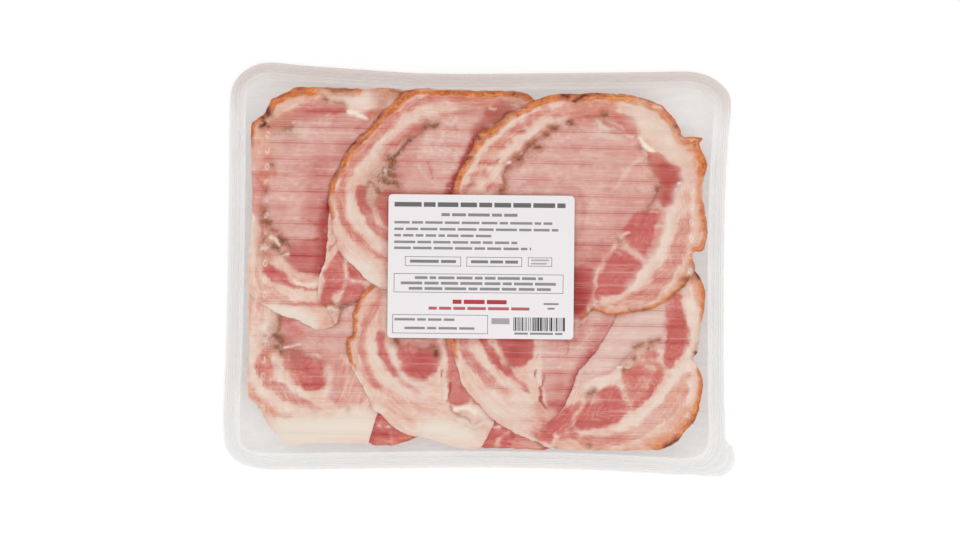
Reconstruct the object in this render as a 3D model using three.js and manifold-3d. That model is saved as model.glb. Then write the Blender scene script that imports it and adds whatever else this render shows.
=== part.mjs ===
// Sliced porchetta in a sealed clear tray, lying on its film with the ribbed, formed side up.
// Millimetres, +Z up. The origin is the middle of the footprint, on the surface that the pack lies on.
import * as THREE from "three";
import { mergeVertices } from "three/addons/utils/BufferGeometryUtils.js";
import Module from "manifold-3d";

// Pack: outline at the flange, with sides that the drawn-in film pulls inwards between the corners
const packOutline = [
  [123.2, 10], [123.4, 47], [124.6, 72], [125.5, 84], [124.4, 90.3], [119.2, 96.2], [112.5, 99.9],
  [104.5, 101.3], [89, 100.9], [59, 100], [29, 99.2], [-1, 98.3], [-31, 98.1], [-61, 99.4], [-91, 101],
  [-107, 102], [-114.5, 100.2], [-121.7, 94.9], [-125, 88.7], [-125.7, 80], [-125.5, 45], [-125.3, 0],
  [-125.5, -45], [-126, -81], [-124.3, -92], [-117.5, -99], [-107, -101.5], [-91, -101.6],
  [-61, -100.7], [-31, -99.8], [-1, -99], [29, -98.8], [59, -99.2], [89, -100.1], [107, -100.4],
  [117, -97.6], [123.4, -90.5], [125.2, -80], [124.5, -60], [123.8, -28],
];
const tabOutline = [
  [106, -98.6], [107, -100.4], [114, -101.2], [122.9, -101.2], [126.4, -99.9], [129.2, -97],
  [130.6, -93], [130, -89], [129, -85.4], [126.9, -85.2], [125.6, -82], [124.9, -75], [122.9, -76],
  [122.4, -84], [120.5, -90], [115.5, -95.3],
];
const ringSteps = 80;
const cornerEasing = 0.03;

// Sheet thicknesses and the clearance kept between touching pieces
const trayWall = 0.4;
const filmThickness = 0.3;
const labelThickness = 0.25;
const sliceThickness = 1.2;
const clearance = 0.3;

// Heights above the surface
const flangeBottom = filmThickness + clearance;
const panelTop = 13;
const panelBottom = panelTop - trayWall;

// Ribs pressed outwards in the panel
const ribPitch = 8.05;
const ribOffset = 1.4;
const ribsEachSide = 10;
const ribHalfLength = 108.5;
const outerRibShortening = 8;
const ribBaseHalfWidth = 3.4;
const ribCrownHalfWidth = 2.5;
const ribHeight = 0.7;

// Label
const labelLength = 93;
const labelWidth = 71.8;
const labelCorner = 2;
const labelPlace = [1.5, 1.6];
const labelTurnDeg = 0.5;

// How near the outline of the pack the food comes, and the steps along a slice's edge between listed points
const foodInset = 8.6;
const edgeSteps = 2;

// Film: flat to this inset, then drawn up against the slices over this much further
const filmFlatInset = 16;
const filmRise = 22;

// Grid that the slices and the film share, so that neighbours stay apart between its points too
const gridStep = 9;
const gridColumns = 31;
const gridRows = 25;

const colours = {
  tray: { color: 0xdfe1e0, roughness: 0.12, metalness: 0, transparent: true, opacity: 0.35 },
  film: { color: 0xe6e8e8, roughness: 0.1, metalness: 0, transparent: true, opacity: 0.3 },
  label: { color: 0xf1eff2, roughness: 0.6, metalness: 0 },
  meat: { color: 0xd99c94, roughness: 0.45, metalness: 0 },
};

const wasm = await Module();
wasm.setup();

function solidOf(geometry) {
  const bare = geometry.clone();
  bare.deleteAttribute("normal");
  bare.deleteAttribute("uv");
  const merged = mergeVertices(bare, 1e-4);
  return new wasm.Manifold(
    new wasm.Mesh({
      numProp: 3,
      vertProperties: new Float32Array(merged.attributes.position.array),
      triVerts: new Uint32Array(merged.index.array),
    }),
  );
}

function geometryOf(solid) {
  const mesh = solid.getMesh();
  const geometry = new THREE.BufferGeometry();
  geometry.setAttribute("position", new THREE.BufferAttribute(mesh.vertProperties, 3));
  geometry.setIndex(new THREE.BufferAttribute(mesh.triVerts, 1));
  geometry.computeVertexNormals();
  return geometry;
}

// A closed solid through rings of equal point count. The first ring's cap faces up and the last one's down.
function loft(rings) {
  const count = rings[0].length;
  const positions = rings.flat().flatMap((p) => [p.x, p.y, p.z]);
  const index = [];
  for (let r = 0; r + 1 < rings.length; r += 1) {
    for (let i = 0; i < count; i += 1) {
      const next = (i + 1) % count;
      const [a, b] = [r * count + i, r * count + next];
      const [c, d] = [a + count, b + count];
      index.push(a, c, b, b, c, d);
    }
  }
  const capTriangles = (ring) => {
    const flat = ring.map((p) => new THREE.Vector2(p.x, p.y));
    return THREE.ShapeUtils.triangulateShape(flat, []);
  };
  for (const [a, b, c] of capTriangles(rings[0])) index.push(a, b, c);
  const last = (rings.length - 1) * count;
  for (const [a, b, c] of capTriangles(rings[rings.length - 1])) index.push(last + a, last + c, last + b);
  const geometry = new THREE.BufferGeometry();
  geometry.setAttribute("position", new THREE.Float32BufferAttribute(positions, 3));
  geometry.setIndex(index);
  return solidOf(geometry);
}

function smoothCurve(points) {
  const places = points.map(([x, y]) => new THREE.Vector3(x, y, 0));
  return new THREE.CatmullRomCurve3(places, true, "centripetal");
}

// One ring round the pack, that far in from its outline.
function packRing(inset, z = 0) {
  const curve = smoothCurve(packOutline);
  const points = [];
  for (let s = 0; s < ringSteps; s += 1) {
    const share = s / ringSteps;
    const at = curve.getPoint(share);
    const ahead = curve.getPoint((share + cornerEasing) % 1);
    const behind = curve.getPoint((share + 1 - cornerEasing) % 1);
    const along = ahead.sub(behind).normalize();
    points.push(new THREE.Vector3(at.x - along.y * inset, at.y + along.x * inset, z));
  }
  return points;
}

function prism(points, bottom, top) {
  const shape = new THREE.Shape(points.map((p) => new THREE.Vector2(p.x, p.y)));
  const geometry = new THREE.ExtrudeGeometry(shape, { depth: top - bottom, bevelEnabled: false });
  geometry.translate(0, 0, bottom);
  return solidOf(geometry);
}

// The peel tab fills out one corner of the flange and of the film.
function peelTab(bottom, top) {
  return prism(tabOutline.map(([x, y]) => new THREE.Vector2(x, y)), bottom, top);
}

// Tray: a thin shell from the panel out and down to the flange, and back along its inner side
function trayShell() {
  const flangeTop = flangeBottom + trayWall;
  const outer = [
    [9, panelTop],
    [8, panelTop - 0.35],
    [7.4, panelTop - 1.2],
    [6.3, 4.2],
    [5.8, 3.3],
    [4.7, 3],
    [4.1, 1.8],
    [3.6, flangeTop],
    [0, flangeTop],
  ];
  const inner = [
    [0, flangeBottom],
    [3.8, flangeBottom],
    [4.4, 1.6],
    [4.9, 2.6],
    [6.1, 2.9],
    [6.7, 4.1],
    [7.8, panelTop - 1.3],
    [8.4, panelBottom - 0.1],
    [9.2, panelBottom],
  ];
  const rings = [...outer, ...inner].map(([inset, z]) => packRing(inset, z));
  return loft(rings);
}

function ribHalfSpan(rank) {
  return ribHalfLength - (Math.abs(rank) === ribsEachSide ? outerRibShortening : 0);
}

// A round-ended bar along X that narrows upwards.
function roundEndedBar(halfLength, baseHalfWidth, crownHalfWidth, bottom, top) {
  const ring = (halfWidth, z) => {
    const endSteps = 3;
    const middle = halfLength - baseHalfWidth;
    const points = [];
    for (const [side, start] of [[1, -0.5], [-1, 0.5]]) {
      for (let s = 0; s <= endSteps; s += 1) {
        const angle = (start + s / endSteps) * Math.PI;
        const x = side * middle + halfWidth * Math.cos(angle);
        points.push(new THREE.Vector3(x, halfWidth * Math.sin(angle), z));
      }
    }
    return points;
  };
  return loft([ring(crownHalfWidth, top), ring(baseHalfWidth, bottom)]);
}

function tray() {
  let made = trayShell().add(peelTab(flangeBottom, flangeBottom + trayWall));
  for (let rank = -ribsEachSide; rank <= ribsEachSide; rank += 1) {
    const halfLength = ribHalfSpan(rank);
    const y = ribOffset + rank * ribPitch;
    const raised = roundEndedBar(
      halfLength, ribBaseHalfWidth, ribCrownHalfWidth, panelTop - trayWall / 2, panelTop + ribHeight);
    const hollow = roundEndedBar(
      halfLength - trayWall, ribBaseHalfWidth - trayWall, ribCrownHalfWidth - trayWall,
      panelBottom - 1, panelTop + ribHeight - trayWall);
    made = made.add(raised.translate([0, y, 0])).subtract(hollow.translate([0, y, 0]));
  }
  return made;
}

// Slices: outlines, nearest the panel first. Where a slice is covered, its edge is a plain round sweep.
const sliceOutlines = {
  slice_top_right: [
    [-13, 38.5], [-11.9, 44.9], [-9.6, 50.2], [-4.4, 59.5], [-2.1, 65], [-0.2, 69.1], [4.4, 70.8],
    [8.1, 74.6], [12.9, 78.6], [19.8, 81.2], [24.8, 84.4], [37.2, 88.7], [45.7, 88.7], [59, 89.6],
    [67.5, 89.3], [76.2, 88.6], [83.3, 86.5], [90.3, 83.9], [93.5, 81.2], [97.4, 76.5],
    [99.9, 71.9], [101.3, 68.7], [107.1, 68.8], [111.7, 67.5], [109.7, 64.9], [111.2, 60.7],
    [113.8, 55.2], [113.4, 52.1], [111.7, 46.6], [111.7, 39.1], [113.2, 30.6], [114.3, 23.2],
    [113.6, 15.6], [111.5, 10.9], [108.4, 11], [107.2, 8], [108.6, 3], [106.4, -2], [102, -7.7],
    [95.6, -13], [88.6, -17.3], [82.7, -19.1], [65.7, -21.1], [58, -19.5], [48, -27], [30, -27],
    [8, -17], [-6, -1], [-12, 18],
  ],
  slice_top_middle: [
    [-75.5, 34], [-74.5, 42.5], [-70.5, 49], [-67, 57.5], [-61.5, 65], [-56, 70], [-49, 78.5],
    [-42.5, 84], [-39.5, 88], [-33, 90], [-16, 90], [-0.5, 89.5], [22, 89], [27, 85.5], [37, 76],
    [43, 58], [43, 34], [38, 10], [27, -9], [8, -22], [-14, -25], [-32, -19], [-45, -12], [-56.5, -5],
    [-60.5, -0.5], [-66, 4], [-69, 8], [-72, 16], [-74, 25],
  ],
  slice_low_right: [
    [69, -24], [63, -35], [57, -43.5], [50.5, -51.5], [47.5, -60.5], [43.5, -68.5], [30.5, -83.5],
    [35, -87.5], [62.5, -89], [94.5, -87.6], [98.4, -86], [102, -83], [104.4, -80], [107.7, -76.2],
    [110.8, -71.5], [112, -65.5],
    [113.5, -54.5], [110.5, -46], [108.5, -42.5], [110.5, -39.5], [111.5, -29], [112.5, -22.5],
    [114, -9.5], [110.5, -1], [101, 6], [88, 0], [76, -11],
  ],
  slice_low_inner: [
    [-15.5, -34.5], [-10, -46.5], [-7, -57], [1.5, -67], [9.5, -75], [20, -81], [29.5, -85], [42, -88],
    [55, -81], [66, -65], [73, -45], [74, -22], [62, -8], [31, -5], [6, -6], [-11, -16], [-17, -25],
  ],
  slice_low_middle: [
    [-56.5, -11.5], [-59, -16], [-62, -23.5], [-62.5, -34], [-65, -35.5], [-63.5, -46.5], [-55.5, -61],
    [-51, -70.5], [-48, -72.5], [-41, -79], [-32, -83.5], [-26.5, -84], [-12.5, -88], [1.5, -89.5],
    [7.5, -81], [11, -72], [18, -54], [19, -34], [11, -15], [-6, -5], [-28, -1], [-46, -3],
  ],
  slice_top_inner: [
    [-75.5, 16.5], [-76.5, 3.5], [-79.5, -5.5], [-79, -17.5], [-76, -20], [-70.5, -28], [-68, -20.5],
    [-58, -16], [-38, -15], [-17, -12], [-2, 0], [3, 20], [-1, 44], [-13, 62], [-33, 70], [-55, 65],
    [-69, 50], [-74, 33],
  ],
  slice_top_left: [
    [-107.4, 78.1], [-106.5, 80.7], [-104.8, 83.2], [-100.8, 85.8], [-96.3, 87.7], [-91.9, 89.7],
    [-79.4, 89.9], [-61.4, 89.7], [-43.4, 89.9], [-39.3, 88.6], [-29, 78], [-23, 62], [-22, 38],
    [-29, 12], [-42, -5], [-57, -14], [-68, -20.5], [-70.5, -28], [-80, -31], [-90, -26.5],
    [-97.5, -24.5], [-109.5, -17.5], [-114.5, -12], [-113.5, 25.5], [-114.7, 64], [-114.4, 71.4],
    [-112.1, 73.4], [-108.3, 75.9],
  ],
  slice_low_left: [
    [-114, -12.5], [-114, -40], [-114, -64.5], [-108.5, -71], [-102.5, -80.5], [-93, -89],
    [-82.5, -88.5], [-60, -87.6], [-53.2, -87.5], [-52, -83.4], [-50.5, -77.5], [-49, -72], [-43.5, -57],
    [-39, -37], [-43, -18],
    [-55, -2], [-76, 5], [-99, 3], [-112, -4],
  ],
  slice_under: [
    [-53.5, -87], [-40.5, -88.5], [-34.5, -86.5], [-28, -84], [-14, -85.5], [3, -88.5], [20, -89],
    [38, -88.5], [54, -80], [61, -60], [55, -37], [36, -20], [6, -12], [-24, -15], [-46, -27],
    [-57, -47], [-59, -68],
  ],
};

// A smooth closed outline through the listed points, counter-clockwise.
function smoothOutline(points) {
  const steps = points.length * edgeSteps;
  const outline = smoothCurve(points).getPoints(steps).slice(0, steps);
  return THREE.ShapeUtils.area(outline) < 0 ? outline.reverse() : outline;
}

// Grid fields: one height for each grid point over the whole pack
const gridX = (column) => (column - (gridColumns - 1) / 2) * gridStep;
const gridY = (row) => (row - (gridRows - 1) / 2) * gridStep;

function gridField(valueAt) {
  const field = [];
  for (let row = 0; row < gridRows; row += 1) {
    for (let column = 0; column < gridColumns; column += 1) {
      field.push(valueAt(row * gridColumns + column, gridX(column), gridY(row), row, column));
    }
  }
  return field;
}

function overNeighbours(field, combine) {
  return gridField((i, x, y, row, column) => {
    const near = [];
    for (let r = Math.max(row - 1, 0); r <= Math.min(row + 1, gridRows - 1); r += 1) {
      for (let c = Math.max(column - 1, 0); c <= Math.min(column + 1, gridColumns - 1); c += 1) {
        near.push(field[r * gridColumns + c]);
      }
    }
    return combine(near);
  });
}

// The highest gently curved sheet that stays under the ceiling.
function drapedUnder(ceiling) {
  const lowest = overNeighbours(ceiling, (near) => Math.min(...near));
  return overNeighbours(lowest, (near) => near.reduce((sum, z) => sum + z, 0) / near.length);
}

// How far a place is from an outline, less than nothing inside it.
function distanceTo(outline, x, y) {
  const place = new THREE.Vector3(x, y, 0);
  const nearest = new THREE.Vector3();
  const side = new THREE.Line3();
  let best = Infinity;
  let inside = false;
  outline.forEach((a, i) => {
    const b = outline[(i + 1) % outline.length];
    side.start.set(a.x, a.y, 0);
    side.end.set(b.x, b.y, 0);
    side.closestPointToPoint(place, true, nearest);
    best = Math.min(best, nearest.distanceTo(place));
    if (a.y > y !== b.y > y && x < a.x + ((b.x - a.x) * (y - a.y)) / (b.y - a.y)) inside = !inside;
  });
  return inside ? -best : best;
}

// A closed slab with that upper side, over the grid cells that come near the outline.
function slab(upper, thickness, outline) {
  const wanted = [];
  const reach = gridStep * 0.8;
  for (let row = 0; row + 1 < gridRows; row += 1) {
    for (let column = 0; column + 1 < gridColumns; column += 1) {
      const [midX, midY] = [gridX(column) + gridStep / 2, gridY(row) + gridStep / 2];
      if (distanceTo(outline, midX, midY) < reach) wanted.push([row, column]);
    }
  }
  const key = (row, column) => row * gridColumns + column;
  const chosen = new Set(wanted.map(([row, column]) => key(row, column)));
  const size = gridRows * gridColumns;
  const positions = [];
  for (const drop of [0, thickness]) {
    for (let i = 0; i < size; i += 1) {
      positions.push(gridX(i % gridColumns), gridY(Math.floor(i / gridColumns)), upper[i] - drop);
    }
  }
  const index = [];
  const wall = (a, b) => index.push(a, a + size, b, b, a + size, b + size);
  for (const [row, column] of wanted) {
    const [a, b] = [key(row, column), key(row, column + 1)];
    const [c, d] = [key(row + 1, column), key(row + 1, column + 1)];
    index.push(a, b, d, a, d, c);
    index.push(a + size, d + size, b + size, a + size, c + size, d + size);
    if (!chosen.has(key(row - 1, column))) wall(a, b);
    if (!chosen.has(key(row + 1, column))) wall(d, c);
    if (!chosen.has(key(row, column - 1))) wall(c, a);
    if (!chosen.has(key(row, column + 1))) wall(b, d);
  }
  const geometry = new THREE.BufferGeometry();
  geometry.setAttribute("position", new THREE.Float32BufferAttribute(positions, 3));
  geometry.setIndex(index);
  return solidOf(geometry);
}

// Slices and film: each slice is pressed up against the panel and the slices nearer to it
function foodAndFilm() {
  const roomForFood = prism(packRing(foodInset), 0, panelTop);
  const solids = {};
  let ceiling = gridField(() => panelBottom);
  for (const [name, points] of Object.entries(sliceOutlines)) {
    const outline = smoothOutline(points);
    const upper = drapedUnder(ceiling.map((z) => z - clearance));
    solids[name] = slab(upper, sliceThickness, outline)
      .intersect(prism(outline, 0, panelTop))
      .intersect(roomForFood);
    ceiling = gridField((i, x, y) => {
      const covered = distanceTo(outline, x, y) < gridStep * Math.SQRT2;
      return covered ? Math.min(ceiling[i], upper[i] - sliceThickness) : ceiling[i];
    });
  }
  const flange = packRing(0);
  const underFood = drapedUnder(ceiling.map((z) => z - clearance));
  const drawnUp = gridField((i, x, y) => {
    const inset = -distanceTo(flange, x, y);
    const rise = THREE.MathUtils.smoothstep(inset, filmFlatInset, filmFlatInset + filmRise);
    return filmThickness + (underFood[i] - filmThickness) * rise;
  });
  const sheetOutline = prism(flange, -1, panelTop).add(peelTab(-1, panelTop));
  const wholePack = packRing(-2 * gridStep);
  solids.film = slab(drawnUp, filmThickness, wholePack).intersect(sheetOutline);
  return solids;
}

function label() {
  const [halfX, halfY] = [labelLength / 2, labelWidth / 2];
  const shape = new THREE.Shape();
  const corners = [[halfX, halfY, 0], [-halfX, halfY, 1], [-halfX, -halfY, 2], [halfX, -halfY, 3]];
  for (const [x, y, quarter] of corners) {
    const start = (quarter * Math.PI) / 2;
    const centreX = x - Math.sign(x) * labelCorner;
    const centreY = y - Math.sign(y) * labelCorner;
    shape.absarc(centreX, centreY, labelCorner, start, start + Math.PI / 2);
  }
  shape.closePath();
  return new THREE.ExtrudeGeometry(shape, { depth: labelThickness, bevelEnabled: false, curveSegments: 4 });
}

function named(name, geometry, look) {
  const mesh = new THREE.Mesh(geometry, new THREE.MeshStandardMaterial(look));
  mesh.name = name;
  return mesh;
}

// The origin is the middle of the footprint, peel tab included.
function footprintCentre() {
  const box = new THREE.Box2();
  for (const p of packRing(0)) box.expandByPoint(new THREE.Vector2(p.x, p.y));
  for (const [x, y] of tabOutline) box.expandByPoint(new THREE.Vector2(x, y));
  return box.getCenter(new THREE.Vector2());
}

const pack = new THREE.Group();
const centre = footprintCentre();
pack.position.set(-centre.x, -centre.y, 0);
pack.add(named("tray", geometryOf(tray()), colours.tray));

for (const [name, solid] of Object.entries(foodAndFilm())) {
  pack.add(named(name, geometryOf(solid), name === "film" ? colours.film : colours.meat));
}

const labelMesh = named("label", label(), colours.label);
labelMesh.position.set(labelPlace[0], labelPlace[1], panelTop + ribHeight + clearance);
labelMesh.rotation.z = THREE.MathUtils.degToRad(labelTurnDeg);
pack.add(labelMesh);

const part = new THREE.Group();
part.add(pack);

export default part;
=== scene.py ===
"""Sliced porchetta in a sealed clear tray that lies on its film, ribbed side up, seen from straight above.

Lists of points are in millimetres. Outlines are in the pack's own frame, as in the part's source, and the
tissue of the slices is listed in the view frame, which is turned a little from the pack. Pieces are shaped in
millimetres and brought to metres when they are finished.
"""

import math

import bpy
import numpy as np
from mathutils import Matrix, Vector
from mathutils.bvhtree import BVHTree


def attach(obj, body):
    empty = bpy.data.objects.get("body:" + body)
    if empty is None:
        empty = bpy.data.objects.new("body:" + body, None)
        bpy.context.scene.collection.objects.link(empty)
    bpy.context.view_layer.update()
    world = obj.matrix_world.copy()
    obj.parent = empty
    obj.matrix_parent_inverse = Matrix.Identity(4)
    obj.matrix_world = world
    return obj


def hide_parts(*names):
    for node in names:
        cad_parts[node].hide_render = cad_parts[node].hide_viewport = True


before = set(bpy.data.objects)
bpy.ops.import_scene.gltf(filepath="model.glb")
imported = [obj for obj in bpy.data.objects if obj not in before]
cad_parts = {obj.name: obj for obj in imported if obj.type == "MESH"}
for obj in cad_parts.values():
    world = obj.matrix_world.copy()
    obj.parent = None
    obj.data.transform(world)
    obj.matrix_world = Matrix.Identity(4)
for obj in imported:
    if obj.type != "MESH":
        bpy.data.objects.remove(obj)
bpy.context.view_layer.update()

MM = 0.001
PACK_CENTRE = np.array([2.29, 0.10])
VIEW_TURN = 0.0183
AREA = 0

# ---------------------------------------------------------------------------------------------------------
# Pack: sizes as in the part's source

PACK_OUTLINE = [
    (123.2, 10), (123.4, 47), (124.6, 72), (125.5, 84), (124.4, 90.3), (119.2, 96.2), (112.5, 99.9),
    (104.5, 101.3), (89, 100.9), (59, 100), (29, 99.2), (-1, 98.3), (-31, 98.1), (-61, 99.4), (-91, 101),
    (-107, 102), (-114.5, 100.2), (-121.7, 94.9), (-125, 88.7), (-125.7, 80), (-125.5, 45), (-125.3, 0),
    (-125.5, -45), (-126, -81), (-124.3, -92), (-117.5, -99), (-107, -101.5), (-91, -101.6), (-61, -100.7),
    (-31, -99.8), (-1, -99), (29, -98.8), (59, -99.2), (89, -100.1), (107, -100.4), (117, -97.6),
    (123.4, -90.5), (125.2, -80), (124.5, -60), (123.8, -28),
]
TAB_OUTLINE = [
    (106, -98.6), (107, -100.4), (114, -101.2), (122.9, -101.2), (126.4, -99.9), (129.2, -97),
    (130.6, -93), (130, -89), (129, -85.4), (126.9, -85.2), (125.6, -82), (124.9, -75),
]
TAB_ROOT = (112, -86)
CORNER_EASING = 0.03
PANEL_TOP = 13.0
TRAY_WALL = 0.4
PANEL_INSET = 9.0

RIB_PITCH = 8.05
RIB_OFFSET = 1.4
RIBS_EACH_SIDE = 10
RIB_HALF_LENGTH = 108.5
OUTER_RIB_SHORTENING = 8
RIB_FOOT = 3.5
RIB_CROWN = 2.1
RIB_HEIGHT = 0.68
# Place and size of the painted highlights at the rib ends
GLINT_RING_PLACE = 106.4
GLINT_RING_SIZE = (0.9, 1.4)

LABEL_SIZE = (93, 71.8)
LABEL_CORNER = 2
LABEL_PLACE = (1.5, 1.6)
LABEL_TURN = math.radians(0.5)
LABEL_BOTTOM = 14.0
LABEL_THICKNESS = 0.25

# ---------------------------------------------------------------------------------------------------------
# Slices: the outline of each, and its tissue as brush strokes. A stroke's row gives its kind, width,
# strength and softness, then its places. An "area" stroke fills what its places enclose. Strength is 1 and
# softness is that of its kind where the row doesn't give them.

# Two kinds of overlay also carry painted shade: dark red bands beside the edges of the slices laid above, and
# round the label
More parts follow.
